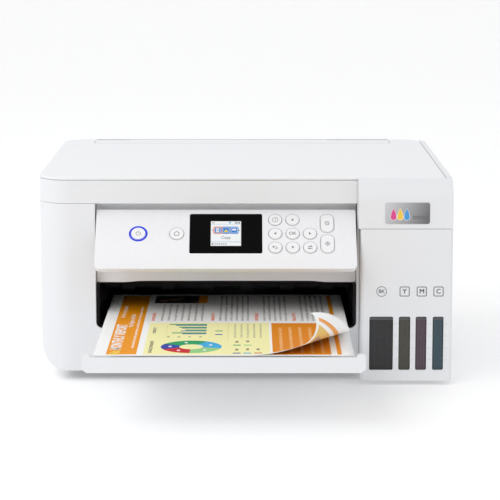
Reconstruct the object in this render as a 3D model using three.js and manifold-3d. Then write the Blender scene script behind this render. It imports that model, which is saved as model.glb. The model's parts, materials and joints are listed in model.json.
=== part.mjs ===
// A three-in-one inkjet printer with refillable ink tanks, its output tray pulled out and its panel raised.
// Millimetres, +Z up, +X to the viewer's right, the front towards -Y. The origin is on the table, under the middle.
import * as THREE from "three";
import { mergeVertices } from "three/addons/utils/BufferGeometryUtils.js";
import Module from "manifold-3d";

const wasm = await Module();
wasm.setup();

// ---------------------------------------------------------------- driving dimensions
// Overall. Y counts back from the main front face while the pieces are made.
const bodyWidth = 375;
const bodyDepth = 326;
const bodyHeight = 187;
const tankStandOut = 21;
const trayReach = 192;
const bodyBottom = 9;
const tankBottom = 4;

// Walls and clearances
const wall = 2.5;
const seam = 0.3;
const slip = 0.6;
const loose = 1.5;

// Corners
const frontCornerRadius = 30;
const backCornerRadius = 22;
const bottomEdgeRadius = 24;
const bottomRightRadius = 6;

// Front
const columnWidth = 52;
const tankWidth = 83;
const frontStrip = 2.3;
const openingBottom = 48.4;
const openingLap = 0.2;
const openingDip = 1.2;
const openingCornerRadius = 6;
const recessDepth = 14;
const cavityDepth = 97;

// Scanner unit and lid
const scannerHeight = 23.6;
const lidThickness = 2.6;
const lidDepth = 283.3;
const lidRimWidth = 5.1;
const earLeftWidth = 31.5;
const earRightWidth = 37.5;
const earReach = 321;
const scannerPivotInset = 5;
const scannerPivotRise = 16.6;
const lidPivotInset = 2.1;
const glassWidth = 300;
const glassLength = 220;
const glassInset = 35;
const glassThickness = 2.8;

// Control panel, measured down its face from the top edge
const panelLength = 65.3;
const panelGap = 8.4;
const panelThickness = 10;
const panelFaceThickness = 2.5;
const panelFootThickness = 5;
const panelTaper = 22;
const panelPivotDrop = 5;
const panelTilt = 44.5;
const panelCornerRadius = 5;
const keySize = 11.6;
const keyGap = 0.3;
const keyPitch = 15.6;
const keyRowPitch = 15.3;
const keyColumnInset = 74.2;
const keyTopRow = 11.7;
const pillInset = 27.4;
const pillLength = 19.2;
const pillPitch = 22.7;
const powerInset = 39.9;
const powerSize = 14;
const homeGap = 11.8;
const homeSize = 12.4;
const screenGap = 11.9;
const screenWidth = 65;
const screenHeight = 43.4;
const screenDrop = 5;
const displaySize = 27.2;
const displayInset = 19;

// Output tray and sheets
const trayFloor = 1.8;
const trayPlate = 3;
const trayTravel = 102;
const extensionTravel = 90;
const trayHold = 60;
const lipThickness = 5;
const lipHeight = 13;
const wingHeight = 2.4;
const wingWidth = 6.5;
const traySideInset = 16;
const extensionSideInset = 6;
const sheetMargin = 10.75;
const sheetLength = 279.4;
const sheetStack = 1;

// Ink tanks
const tankSeamHeight = 143;
const tankTop = 118;
const tankDepth = 88;
const tankEdgeRadius = 4;
const windowBottom = 14;
const windowHeight = 49.4;
const windowRadius = 1.5;
const tankWindowSizes = [
  { name: "black", inset: 74.9, width: 21.6, ink: 0x38383a },
  { name: "yellow", inset: 48.4, width: 10.6, ink: 0x504d46 },
  { name: "magenta", inset: 33.2, width: 10.1, ink: 0x5c4a56 },
  { name: "cyan", inset: 17.8, width: 10, ink: 0x40545f },
];
const tankSideRoom = 2.1;
const neckRadius = 4.6;
const neckHeight = 6;
const capRadius = 6;
const capHeight = 7;
const capHinge = 8.5;
const coverNose = 3;
const coverOverhang = 1.9;

// Rear feed
const feedSlope = 25;
const feedCoverFront = 284.6;
const feedCoverPivot = 311.5;
const feedCoverNose = 3;
const supportDrop = 0.4;
const hopperTopDrop = 9;
const hopperBendDrop = 31;
const hopperFootDrop = 80;
const supportFace = 317.5;
const supportThickness = 3;
const supportLength = 116;
const supportWidth = 206;
const guideTravel = 55;
const guideDepth = 12;
const guideBlade = 2.4;

// Inside
const deckDrop = 8.4;
const deckThickness = 2.5;
const carriageWidth = 56;
const carriageHomeInset = 37.5;
const carriageFront = 105;
const carriageDepth = 84;
const carriageBottom = 76;
const carriageHeight = 42;
const railBack = 197;
const railThickness = 1.6;
const railBottom = 90;
const railHeight = 52;
const beltDrop = 10;
const beltRadius = 5.6;
const beltThickness = 1.2;
const beltWidth = 5;
const pulleyRadius = 4;
const motorRadius = 16;
const motorLength = 34;
const feedRollerY = 207;
const feedRollerZ = 72;
const feedRollerRadius = 7;
const exitRollerY = 101;
const exitRollerZ = 71;
const exitRollerRadius = 5;
const platenTop = 71.5;

// Feet
const footRadius = 9;
const footInsetX = 38;
const footFrontY = 62;
const footBackY = 292;

// Worked out from the above
const leftX = -bodyWidth / 2;
const rightX = bodyWidth / 2;
const openingLeft = leftX + columnWidth;
const tankLeft = rightX - tankWidth;
const openingRight = tankLeft - frontStrip - seam;
const tankMiddle = (tankLeft + rightX) / 2;
const openingMiddle = (openingLeft + openingRight) / 2;
const sheetWidth = openingRight - openingLeft - 2 * sheetMargin;
const keyColumnX = openingRight - keyColumnInset;
const pillX = openingRight - pillInset;
const powerX = openingLeft + powerInset;
const screenLeft = keyColumnX - screenGap - screenWidth;
const homeX = screenLeft - homeGap;
const displayLeft = screenLeft + displayInset;
const carriageHome = rightX - carriageHomeInset;
const tankWindows = tankWindowSizes.map((size) => ({ ...size, left: rightX - size.inset }));
const bandBottom = bodyHeight - scannerHeight;
const bodyTop = bandBottom - seam;
const deckHeight = bandBottom - deckDrop;
const panelTop = bandBottom - panelGap;
const openingTop = panelTop - panelLength + openingLap;
const supportTop = bodyHeight - supportDrop;
const housingTop = bodyHeight - lidThickness - seam;
const earLeft = leftX + earLeftWidth;
const earRight = rightX - earRightWidth;
const earTop = bodyTop - 3.1;
const frontPlane = (trayReach - bodyDepth) / 2;
const tankFront = -tankStandOut;
const panelPivot = { y: panelThickness / 2, z: panelTop - panelPivotDrop };
const scannerPivot = { y: earReach - scannerPivotInset, z: bandBottom + scannerPivotRise };
const lidPivot = { y: earReach - 0.5 - lidPivotInset, z: bodyHeight - lidThickness / 2 };
const coverPivot = { y: -seam - coverNose, z: bodyHeight - coverNose };
const feedPivot = { y: feedCoverPivot, z: bodyHeight - feedCoverNose };
const trayZ = openingBottom + trayFloor + 0.8;
const lipBottom = openingBottom + slip;
const lipTop = lipBottom + lipHeight;
const sheetZ = lipTop + 0.4;
const feedTan = Math.tan(THREE.MathUtils.degToRad(feedSlope));

// ---------------------------------------------------------------- helpers
const arcSteps = 7;

function solidOf(geometry) {
  const bare = geometry.clone();
  bare.deleteAttribute("normal");
  bare.deleteAttribute("uv");
  const merged = mergeVertices(bare, 1e-4);
  return new wasm.Manifold(
    new wasm.Mesh({
      numProp: 3,
      vertProperties: new Float32Array(merged.attributes.position.array),
      triVerts: new Uint32Array(merged.index.array),
    }),
  );
}

function geometryOf(solid) {
  const mesh = solid.getMesh();
  const geometry = new THREE.BufferGeometry();
  geometry.setAttribute("position", new THREE.BufferAttribute(new Float32Array(mesh.vertProperties), 3));
  geometry.setIndex(new THREE.BufferAttribute(new Uint32Array(mesh.triVerts), 1));
  geometry.computeVertexNormals();
  return geometry;
}

const join = (...solids) => solids.reduce((all, one) => all.add(one));
const cut = (solid, ...tools) => tools.reduce((rest, tool) => rest.subtract(tool), solid);

function box(x0, x1, y0, y1, z0, z1) {
  const geometry = new THREE.BoxGeometry(x1 - x0, y1 - y0, z1 - z0);
  return solidOf(geometry.translate((x0 + x1) / 2, (y0 + y1) / 2, (z0 + z1) / 2));
}

const extrude = (shape, depth, steps) =>
  new THREE.ExtrudeGeometry(shape, { depth, bevelEnabled: false, curveSegments: steps });

// A shape drawn on X and Y, standing from z0 to z1.
const prismZ = (shape, z0, z1, steps = arcSteps) =>
  solidOf(extrude(shape, z1 - z0, steps).translate(0, 0, z0));

// A shape drawn on X and Z, running from y0 to y1.
const prismY = (shape, y0, y1, steps = arcSteps) =>
  solidOf(extrude(shape, y1 - y0, steps).rotateX(Math.PI / 2).translate(0, y1, 0));

// A shape drawn on Y and Z, running from x0 to x1.
function prismX(shape, x0, x1, steps = arcSteps) {
  const turn = new THREE.Matrix4().makeBasis(
    new THREE.Vector3(0, 1, 0),
    new THREE.Vector3(0, 0, 1),
    new THREE.Vector3(1, 0, 0),
  );
  return solidOf(extrude(shape, x1 - x0, steps).applyMatrix4(turn).translate(x0, 0, 0));
}

const alongX = (radius, x0, x1, y, z, sides = 16) =>
  solidOf(
    new THREE.CylinderGeometry(radius, radius, x1 - x0, sides)
      .rotateZ(Math.PI / 2)
      .translate((x0 + x1) / 2, y, z),
  );

const alongY = (radius, x, y0, y1, z, sides = 16) =>
  solidOf(new THREE.CylinderGeometry(radius, radius, y1 - y0, sides).translate(x, (y0 + y1) / 2, z));

const alongZ = (radius, x, y, z0, z1, sides = 16) =>
  solidOf(
    new THREE.CylinderGeometry(radius, radius, z1 - z0, sides)
      .rotateX(Math.PI / 2)
      .translate(x, y, (z0 + z1) / 2),
  );

// A closed outline through corners [x, y, radius], with a round of that radius at each.
function outline(corners) {
  const shape = new THREE.Shape();
  const count = corners.length;
  corners.forEach(([x, y, radius = 0], i) => {
    const corner = new THREE.Vector2(x, y);
    const before = new THREE.Vector2(...corners[(i + count - 1) % count].slice(0, 2));
    const after = new THREE.Vector2(...corners[(i + 1) % count].slice(0, 2));
    const from = before.sub(corner).normalize();
    const to = after.sub(corner).normalize();
    const half = Math.acos(THREE.MathUtils.clamp(from.dot(to), -1, 1)) / 2;
    const back = radius > 0 ? radius / Math.tan(half) : 0;
    const start = corner.clone().addScaledVector(from, back);
    if (i === 0) shape.moveTo(start.x, start.y);
    else shape.lineTo(start.x, start.y);
    if (radius <= 0) return;
    const centre = corner.clone().addScaledVector(from.clone().add(to).normalize(), radius / Math.sin(half));
    const end = corner.clone().addScaledVector(to, back);
    const a0 = Math.atan2(start.y - centre.y, start.x - centre.x);
    const a1 = Math.atan2(end.y - centre.y, end.x - centre.x);
    const clockwise = from.x * to.y - from.y * to.x > 0;
    shape.absarc(centre.x, centre.y, radius, a0, a1, clockwise);
  });
  shape.closePath();
  return shape;
}

const rounded = (x0, x1, y0, y1, radius) =>
  outline([
    [x0, y0, radius],
    [x1, y0, radius],
    [x1, y1, radius],
    [x0, y1, radius],
  ]);

const finish = (color, roughness, metalness = 0) => ({ color, roughness, metalness });
const white = finish(0xe6e7e9, 0.55);
const lidWhite = finish(0xeff0f1, 0.6);
const panelWhite = finish(0xf2f2f4, 0.5);
const innerGrey = finish(0xbcbdc1, 0.6);
const innerBlack = finish(0x1a1a1b, 0.5);
const frameGrey = finish(0x8d9094, 0.6);
const steel = finish(0xb8bcc0, 0.35, 0.9);
const rubber = finish(0x4a4a4c, 0.85);
const glossBlack = finish(0x08080a, 0.1);
const paper = finish(0xf7f7f5, 0.8);

const printer = new THREE.Group();
printer.position.y = frontPlane;

function add(name, solid, look, parent = printer) {
  const mesh = new THREE.Mesh(geometryOf(solid), new THREE.MeshStandardMaterial(look));
  mesh.name = name;
  parent.add(mesh);
}

// ---------------------------------------------------------------- outer case
// Plan and front outlines of the main case, drawn inset from its outside.
const casePlan = (inset, y0 = 0) =>
  outline([
    [leftX + inset, y0 + inset, frontCornerRadius - inset],
    [rightX - inset, y0 + inset],
    [rightX - inset, bodyDepth - inset, backCornerRadius - inset],
    [leftX + inset, bodyDepth - inset, backCornerRadius - inset],
  ]);

const caseFront = (inset, top) =>
  outline([
    [leftX + inset, bodyBottom + inset, bottomEdgeRadius - inset],
    [rightX - inset, bodyBottom + inset, bottomRightRadius - inset],
    [rightX - inset, top],
    [leftX + inset, top],
  ]);

const caseOuter = prismZ(casePlan(0), bodyBottom, bodyTop).intersect(
  prismY(caseFront(0, bodyTop), 0, bodyDepth),
);
const caseInner = prismZ(casePlan(wall), bodyBottom, bodyTop + 1).intersect(
  prismY(caseFront(wall, bodyTop + 1), wall, bodyDepth - wall),
);
const caseShell = cut(caseOuter, caseInner);
const floorEdge = leftX + bottomEdgeRadius;
const rearSeam = bodyDepth - 14;
const floorFront = 8;
const tankBack = tankFront + tankDepth + 13;

const frontOpening = prismY(
  outline([
    [openingLeft, openingBottom, openingCornerRadius],
    [openingRight, openingBottom, openingCornerRadius],
    [openingRight, bodyHeight],
    [openingLeft, bodyHeight],
  ]),
  -1,
  floorFront,
);

function frontCover() {
  const side = box(leftX - 1, floorEdge - seam, -1, rearSeam - seam, 0, bodyHeight);
  const face = box(floorEdge - 1, tankLeft - seam, -1, floorFront - seam, 0, bodyHeight);
  const cover = caseShell.intersect(join(side, face));
  const returnWall = box(openingLeft - wall, openingLeft, wall - 0.5, recessDepth + wall, openingBottom, bodyTop);
  const strip = box(openingRight, tankLeft - seam, 1, recessDepth + wall, bodyBottom + wall, bodyTop);
  return join(cut(cover, frontOpening), returnWall, strip);
}

function baseCase() {
  const main = box(floorEdge, tankLeft - seam, floorFront, rearSeam - seam, bodyBottom, bodyBottom + wall);
  const right = box(tankLeft - 1, rightX - wall - seam, tankBack + seam, rearSeam - seam, bodyBottom, bodyBottom + wall);
  const ribTop = openingBottom - 0.4;
  const ribs = [openingLeft + 22, openingMiddle, openingRight - 22].map((x) =>
    box(x - 1, x + 1, floorFront + 4, feedRollerY, bodyBottom + 1, ribTop),
  );
  const posts = [-1, 1].map((side) => {
    const x = openingMiddle + side * 80;
    return box(x - 3, x + 3, exitRollerY + 2, exitRollerY + 8, bodyBottom + 1, ribTop);
  });
  const tie = box(openingLeft + 22, openingRight - 22, feedRollerY - 12, feedRollerY - 10, bodyBottom + 1, ribTop);
  return join(main, right, tie, ...ribs, ...posts);
}

// Where the power socket and the computer socket come through the back.
const inletCentre = { x: leftX + 28, z: 36 };
const inletSize = { x: 26, z: 20 };
const usbCentre = { x: rightX - 44, z: 32 };
const usbSize = { x: 13, z: 12 };
const through = (centre, size, gap, y0, y1) =>
  box(
    centre.x - size.x / 2 - gap,
    centre.x + size.x / 2 + gap,
    y0,
    y1,
    centre.z - size.z / 2 - gap,
    centre.z + size.z / 2 + gap,
  );

function rearCover() {
  const shell = caseShell.intersect(box(leftX - 1, rightX + 1, rearSeam, bodyDepth + 1, 0, earTop));
  const raised = box(
    earLeft + seam,
    earRight - seam,
    supportFace + 4.3,
    bodyDepth,
    earTop - 20,
    bodyHeight - 0.2,
  );
  const ventCount = 9;
  const vents = Array.from({ length: ventCount }, (_, i) => {
    const x = openingMiddle + (i - (ventCount - 1) / 2) * 9;
    return box(x - 1.5, x + 1.5, bodyDepth - 6, bodyDepth + 1, 40, 62);
  });
  const holes = [
    through(inletCentre, inletSize, seam, bodyDepth - 8, bodyDepth + 1),
    through(usbCentre, usbSize, seam, bodyDepth - 8, bodyDepth + 1),
  ];
  return cut(join(shell, raised), ...vents, ...holes);
}

// The wall behind the raised panel. Its lower edge is higher in the middle of the opening.
function panelRecess() {
  const x0 = openingLeft + seam;
  const x1 = openingRight - seam;
  const ease = 24;
  const edge = new THREE.Shape();
  edge.moveTo(x0, openingTop - openingDip);
  edge.lineTo(x0 + ease, openingTop - openingDip);
  edge.bezierCurveTo(x0 + ease + 8, openingTop - openingDip, x0 + ease + 10, openingTop, x0 + ease + 20, openingTop);
  edge.lineTo(x1 - ease - 20, openingTop);
  edge.bezierCurveTo(x1 - ease - 10, openingTop, x1 - ease - 8, openingTop - openingDip, x1 - ease, openingTop - openingDip);
  edge.lineTo(x1, openingTop - openingDip);
  edge.lineTo(x1, bodyTop);
  edge.lineTo(x0, bodyTop);
  edge.closePath();
  const lugs = [x0 + 3, x1 - 7].map((x) =>
    box(x, x + 4, panelPivot.y + panelThickness / 2 + 2.6, recessDepth + 0.5, panelPivot.z - 4, panelPivot.z + 4),
  );
  return join(prismY(edge, recessDepth, recessDepth + wall, 4), ...lugs);
}

// The black lining of the exit: floor under the tray, two side walls and a roof.
function exitLining() {
  const x0 = openingLeft + seam;
  const x1 = openingRight - seam;
  const y0 = floorFront - 1;
  const z0 = openingBottom + 0.2;
  const sideTop = openingTop - openingDip - seam;
  const floor = box(x0, x1, y0, feedRollerY - feedRollerRadius - 2, z0, z0 + trayFloor - 0.2);
  const left = box(x0, x0 + wall, y0, cavityDepth - exitRollerRadius, z0, sideTop);
  const right = box(x1 - wall, x1, y0, cavityDepth - exitRollerRadius, z0, sideTop);
  const roofFront = recessDepth + wall + seam;
  const roof = box(x0, x1, roofFront, cavityDepth - exitRollerRadius, sideTop - 0.5, sideTop + 2);
  return join(floor, left, right, roof);
}

function upperFrame() {
  const inset = wall + seam;
  const deckFront = recessDepth + wall + seam;
  const plate = prismZ(casePlan(inset), deckHeight, deckHeight + deckThickness).intersect(
    box(leftX, rightX, deckFront, bodyDepth - wall - seam, 0, bodyHeight),
  );
  const bay = { x0: openingLeft - 16, x1: tankLeft - 4, y0: 60, y1: railBack - 12 };
  const rim = box(bay.x0 - 2, bay.x1 + 2, bay.y0 - 2, bay.y1 + 2, deckHeight + 1, deckHeight + deckThickness + 3);
  const hole = box(bay.x0, bay.x1, bay.y0, bay.y1, deckHeight - 1, bodyHeight);
  const feeder = box(earLeft - seam, earRight + seam, lidDepth - 20, bodyDepth, deckHeight - 1, bodyHeight);
  const posts = [earLeft - 14, earRight + 18].map((x) => {
    const post = join(
      box(x - 4, x + 4, scannerPivot.y - 3.4, scannerPivot.y + 3.4, deckHeight + 1, scannerPivot.z),
      alongX(3.4, x - 4, x + 4, scannerPivot.y, scannerPivot.z),
    );
    return cut(post, alongX(1.9, x - 5, x + 5, scannerPivot.y, scannerPivot.z, 12));
  });
  return join(cut(join(plate, rim), hole, feeder), ...posts);
}

add("front_cover", frontCover(), white);
add("base_case", baseCase(), frameGrey);
add("rear_cover", rearCover(), white);
add("panel_recess", panelRecess(), innerGrey);
add("exit_lining", exitLining(), innerBlack);
add("upper_frame", upperFrame(), frameGrey);

const footPlaces = [
  { name: "foot_front_left", x: leftX + footInsetX, y: footFrontY, top: bodyBottom },
  { name: "foot_front_right", x: rightX - footInsetX, y: footFrontY, top: tankBottom },
  { name: "foot_rear_left", x: leftX + footInsetX, y: footBackY, top: bodyBottom },
  { name: "foot_rear_right", x: rightX - footInsetX, y: footBackY, top: bodyBottom },
];
footPlaces.forEach(({ name, x, y, top }) => add(name, alongZ(footRadius, x, y, 0, top - seam, 20), rubber));

// ---------------------------------------------------------------- ink tank unit
const tankPlan = (inset) =>
  outline([
    [tankLeft + inset, tankFront + inset, tankEdgeRadius - inset],
    [rightX - inset, tankFront + inset, tankEdgeRadius - inset],
    [rightX - inset, tankBack],
    [tankLeft + inset, tankBack],
  ]);
const tankWall = 2.2;
const tankInner = prismZ(tankPlan(tankWall), tankBottom + wall, bodyHeight).intersect(
  box(tankLeft, rightX, tankFront, tankBack + 5, 0, bodyHeight),
);
const tankShell = cut(prismZ(tankPlan(0), tankBottom, tankSeamHeight), tankInner);
const tankFaceBack = tankFront + tankEdgeRadius + 0.4;
const armWidth = 2.5;
const armFront = coverPivot.y - 3.8;

function tankHousing() {
  const tub = tankShell.intersect(box(tankLeft - 1, rightX + 1, tankFaceBack + seam, tankBack, 0, tankSeamHeight));
  const side = caseShell.intersect(box(rightX - wall, rightX + 1, tankBack - 0.5, rearSeam - seam, 0, bodyTop));
  const backCorner = caseShell.intersect(
    box(rightX - bottomRightRadius, rightX + 1, tankBack - 0.5, rearSeam - seam, 0, bodyBottom + 30),
  );
  const edge = cut(backCorner, box(0, rightX - wall - seam + 0.2, 0, bodyDepth, 0, bodyBottom + wall + 0.2));
  const upper = box(rightX - wall, rightX, 2 * seam, tankBack, tankSeamHeight - 1, bodyTop);
  const innerUpper = box(tankLeft, tankLeft + tankWall, recessDepth + 4, tankBack, tankSeamHeight - 1, deckHeight - seam);
  const armRoom = tankWall + 1.6;
  const arms = [tankLeft + armRoom, rightX - armRoom - armWidth].map((x) => {
    const outward = x < tankMiddle ? -2 : 2;
    const footX = [x + Math.min(0, outward), x + armWidth + Math.max(0, outward)];
    const foot = box(...footX, armFront, coverPivot.y + 6, tankSeamHeight - 6, tankSeamHeight - 2);
    return join(foot, box(x, x + armWidth, armFront, coverPivot.y, tankSeamHeight - 4, coverPivot.z - 1.6));
  });
  const bulkheadY = recessDepth + wall + 1;
  const bulkhead = box(
    tankLeft + 1,
    rightX - wall + 1,
    bulkheadY,
    bulkheadY + tankWall,
    tankTop + 1,
    deckHeight - seam,
  );
  return join(tub, side, edge, upper, innerUpper, bulkhead, ...arms);
}

function tankFace() {
  const face = tankShell.intersect(box(tankLeft - 1, rightX + 1, tankFront - 1, tankFaceBack, 0, tankSeamHeight));
  const holes = tankWindows.map(({ left, width }) =>
    prismY(
      rounded(left, left + width, windowBottom, windowBottom + windowHeight, windowRadius),
      tankFront - 1,
      tankFront + tankWall + 1,
      3,
    ),
  );
  return cut(face, ...holes);
}

// The rounded cover over the filler caps, drawn on Y and Z.
const coverFoot = tankSeamHeight + 0.4;
function coverOutline(inset) {
  const shape = new THREE.Shape();
  const depth = coverPivot.y - tankFront;
  const height = 21;
  shape.moveTo(coverPivot.y, bodyHeight - inset);
  shape.absellipse(
    coverPivot.y,
    bodyHeight - height,
    depth - inset,
    height - inset,
    Math.PI / 2,
    Math.PI,
    false,
    0,
  );
  shape.lineTo(tankFront + inset, coverFoot);
  return shape;
}

function tankCover() {
  const x0 = tankLeft - coverOverhang;
  const x1 = rightX - seam;
  const skin = coverOutline(0);
  skin.lineTo(tankFront + wall, coverFoot);
  const inner = coverOutline(wall).getPoints(9).reverse();
  inner.forEach((p) => skin.lineTo(p.x, p.y));
  skin.closePath();
  const nose = cut(
    alongX(coverNose, x0, x1, coverPivot.y, coverPivot.z, 24),
    box(x0 - 1, x1 + 1, coverPivot.y - 5, coverPivot.y - 0.01, 0, bodyHeight),
  );
  const end = coverOutline(0);
  end.lineTo(coverPivot.y + coverNose - 0.3, coverFoot);
  end.lineTo(coverPivot.y + coverNose - 0.3, coverPivot.z);
  end.closePath();
  const ends = [prismX(end, x0, x0 + wall, 9), prismX(end, x1 - wall, x1, 9)];
  const noseGaps = [tankLeft + tankWall + 1, rightX - tankWall - 1 - armWidth - 1.2].map((x) =>
    box(x, x + armWidth + 1.2, coverPivot.y - 8, coverPivot.y + 4, 0, coverPivot.z + 0.4),
  );
  const pins = [
    alongX(1.2, x0 + wall - 0.5, tankLeft + tankWall + 4.6, coverPivot.y, coverPivot.z, 10),
    alongX(1.2, rightX - tankWall - 4.6, x1 - wall + 0.5, coverPivot.y, coverPivot.z, 10),
  ];
  return join(cut(join(prismX(skin, x0, x1, 9), nose), ...noseGaps), ...ends, ...pins);
}

add("tank_housing", tankHousing(), white);
add("tank_face", tankFace(), white);
add("tank_cover", tankCover(), white);

const tankFloor = tankBottom + wall + seam;
tankWindows.forEach(({ name, left, width, ink }, i) => {
  const x0 = i === 0 ? tankLeft + tankWall + seam : (tankWindows[i - 1].left + tankWindows[i - 1].width + left) / 2 + 0.4;
  const next = tankWindows[i + 1];
  const x1 = next ? (left + width + next.left) / 2 - 0.4 : rightX - tankWall - tankSideRoom;
  const centre = left + width / 2;
  const y0 = tankFront + tankWall + seam;
  const post = box(centre - 2, centre + 2, capHinge - 1.2, capHinge + 1.2, tankTop - 1, tankTop + neckHeight - 0.2);
  const body = join(
    prismZ(rounded(x0, x1, y0, y0 + tankDepth, 2), tankFloor, tankTop, 3),
    alongZ(neckRadius, centre, 0, tankTop - 1, tankTop + neckHeight),
    post,
  );
  add(`${name}_ink_tank`, body, finish(ink, 0.25));
  const cap = prismZ(
    outline([
      [centre - capRadius, -capRadius, capRadius - 0.1],
      [centre + capRadius, -capRadius, capRadius - 0.1],
      [centre + capRadius, capRadius, 3],
      [centre - capRadius, capRadius, 3],
    ]),
    tankTop + neckHeight + seam,
    tankTop + neckHeight + capHeight,
    5,
  );
  const knuckle = alongX(1.6, centre - 3, centre + 3, capHinge, tankTop + neckHeight + 2, 12);
  const strap = box(centre - 3, centre + 3, 3, capHinge, tankTop + neckHeight + 0.9, tankTop + neckHeight + 3.4);
  add(`${name}_filler_cap`, join(cap, strap, knuckle), finish(ink, 0.5));
});

// ---------------------------------------------------------------- scanner unit and lid
const unitPlan = (inset, right, front) =>
  outline([
    [leftX + inset, front + inset, frontCornerRadius - inset],
    [right - inset, front + inset, 1],
    [right - inset, earReach - inset, backCornerRadius - inset],
    [earRight + inset, earReach - inset],
    [earRight + inset, lidDepth - inset],
    [earLeft - inset, lidDepth - inset],
    [earLeft - inset, earReach - inset],
    [leftX + inset, earReach - inset, backCornerRadius - inset],
  ]);

const bedX0 = -glassWidth / 2;
const bedX1 = glassWidth / 2;
const bedLip = 1.5;

function scannerHousing() {
  const outer = prismZ(unitPlan(0, rightX, 0), bandBottom, housingTop);
  const hollow = prismZ(unitPlan(wall, rightX, 0), bandBottom + wall, housingTop - wall);
  const bed = box(
    bedX0 + bedLip,
    bedX1 - bedLip,
    glassInset + bedLip,
    glassInset + glassLength - bedLip,
    bandBottom + wall,
    bodyHeight,
  );
  const rim = prismZ(unitPlan(0, rightX, 0), housingTop - 1, bodyHeight).intersect(
    box(rightX - lidRimWidth, rightX + 1, 0, earReach - 8, 0, bodyHeight + 1),
  );
  const behindCover = box(tankLeft - 3.1, rightX + 1, -1, seam, 0, bodyHeight + 1);
  const rearStep = box(leftX - 1, rightX + 1, earReach - 7, earReach + 1, housingTop - 1.7, bodyHeight + 1);
  const hingeX = [earLeft - 14, earRight + 18];
  const notches = hingeX.map((x) =>
    box(x - 5, x + 5, scannerPivot.y - 7, earReach + 1, bandBottom - 1, bodyHeight),
  );
  const pins = hingeX.map((x) => alongX(1.5, x - 7.5, x + 7.5, scannerPivot.y, scannerPivot.z, 12));
  const backs = hingeX.map((x) =>
    box(x - 7, x + 7, scannerPivot.y - 9, earReach - wall + 0.5, bandBottom + 1, housingTop - 2),
  );
  const middleY = glassInset + glassLength / 2;
  const rail = box(leftX + wall + 8, rightX - wall - 8, middleY - 5, middleY + 5, bandBottom + 1, bandBottom + wall + 2);
  const shell = cut(join(cut(outer, hollow), rim), bed, behindCover, rearStep);
  const cheeks = hingeX.map((x) =>
    box(x - 7, x + 7, scannerPivot.y - 9, earReach - 7, bandBottom + 1, housingTop - 1),
  );
  return join(cut(join(shell, ...cheeks, ...backs), ...notches), ...pins, rail);
}

function documentLid() {
  const plate = prismZ(unitPlan(0, rightX - lidRimWidth - 0.4, 0), bodyHeight - lidThickness, bodyHeight);
  return plate.intersect(box(leftX - 1, rightX + 1, -1, earReach - 0.5, 0, bodyHeight + 1));
}

const glassTop = housingTop - wall - 0.2;
const padGap = 0.6;
add("scanner_housing", scannerHousing(), white);
add(
  "platen_glass",
  box(bedX0, bedX1, glassInset, glassInset + glassLength, glassTop - glassThickness, glassTop),
  finish(0xbfd0d0, 0.05),
);
add(
  "scan_carriage",
  box(
    bedX0 + 5,
    bedX0 + 30,
    glassInset + 5,
    glassInset + glassLength - 5,
    bandBottom + wall + 2.6,
    glassTop - glassThickness - 1.4,
  ),
  innerBlack,
);
add("document_lid", documentLid(), lidWhite);
add(
  "document_pad",
  prismZ(
    rounded(
      bedX0 + bedLip + padGap,
      bedX1 - bedLip - padGap,
      glassInset + bedLip + padGap,
      glassInset + glassLength - bedLip - padGap,
      3,
    ),
    glassTop + padGap,
    housingTop,
    3,
  ),
  finish(0xf4f4f2, 0.9),
);

// ---------------------------------------------------------------- control panel
// Made upright, as when it is folded flat, and turned up about its top edge.
const panel = new THREE.Group();
panel.position.set(0, panelPivot.y, panelPivot.z);
panel.rotation.x = -THREE.MathUtils.degToRad(panelTilt);
printer.add(panel);
const inPanel = (solid) => solid.translate([0, -panelPivot.y, -panelPivot.z]);
const panelLeft = openingLeft + loose;
const panelRight = openingRight - loose;
const panelFoot = panelTop - panelLength;
const keyTravel = 0.7;

const roundKey = (name, x, drop, size) => ({ name, x, z: panelTop - drop, width: size, height: size });
const pillKey = (name, drop) => ({
  name,
  x: pillX,
  z: panelTop - drop,
  width: keySize,
  height: pillLength,
});
const columnX = (column) => keyColumnX + column * keyPitch;
const rowDrop = (row) => keyTopRow + row * keyRowPitch;
const firstPill = rowDrop(1) - pillPitch / 2;
const keys = [
  roundKey("power_button", powerX, rowDrop(1), powerSize),
  roundKey("home_button", homeX, rowDrop(1), homeSize),
  roundKey("help_button", columnX(0), rowDrop(0), keySize),
  roundKey("up_button", columnX(1), rowDrop(0), keySize),
  roundKey("left_button", columnX(0), rowDrop(1), keySize),
  roundKey("ok_button", columnX(1), rowDrop(1), keySize),
  roundKey("right_button", columnX(2), rowDrop(1), keySize),
  roundKey("back_button", columnX(0), rowDrop(2), keySize),
  roundKey("down_button", columnX(1), rowDrop(2), keySize),
  roundKey("settings_button", columnX(2), rowDrop(2), keySize),
  pillKey("stop_button", firstPill),
  pillKey("start_button", firstPill + pillPitch),
];

const keyOutline = ({ x, z, width, height }, grow) =>
  rounded(
    x - width / 2 - grow,
    x + width / 2 + grow,
    z - height / 2 - grow,
    z + height / 2 + grow,
    width / 2 + grow - 0.05,
  );

const screenRight = screenLeft + screenWidth;
const screenTop = panelTop - screenDrop;
const screenPlate = (grow, y0, y1) =>
  prismY(
    rounded(screenLeft - grow, screenRight + grow, screenTop - screenHeight - grow, screenTop + grow, 1.5 + grow),
    y0,
    y1,
    3,
  );

const panelOutline = (inset) =>
  outline([
    [panelLeft + inset, panelFoot + inset, panelCornerRadius],
    [panelRight - inset, panelFoot + inset, panelCornerRadius],
    [panelRight - inset, panelTop - inset, 1],
    [panelLeft + inset, panelTop - inset, 1],
  ]);

function panelFace() {
  const plate = prismY(panelOutline(0), 0, panelFaceThickness, 5);
  const holes = keys.map((key) => prismY(keyOutline(key, keyGap), -1, panelFaceThickness + 1, 3));
  return cut(plate, ...holes, screenPlate(0.3, -1, panelFaceThickness + 1));
}

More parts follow.
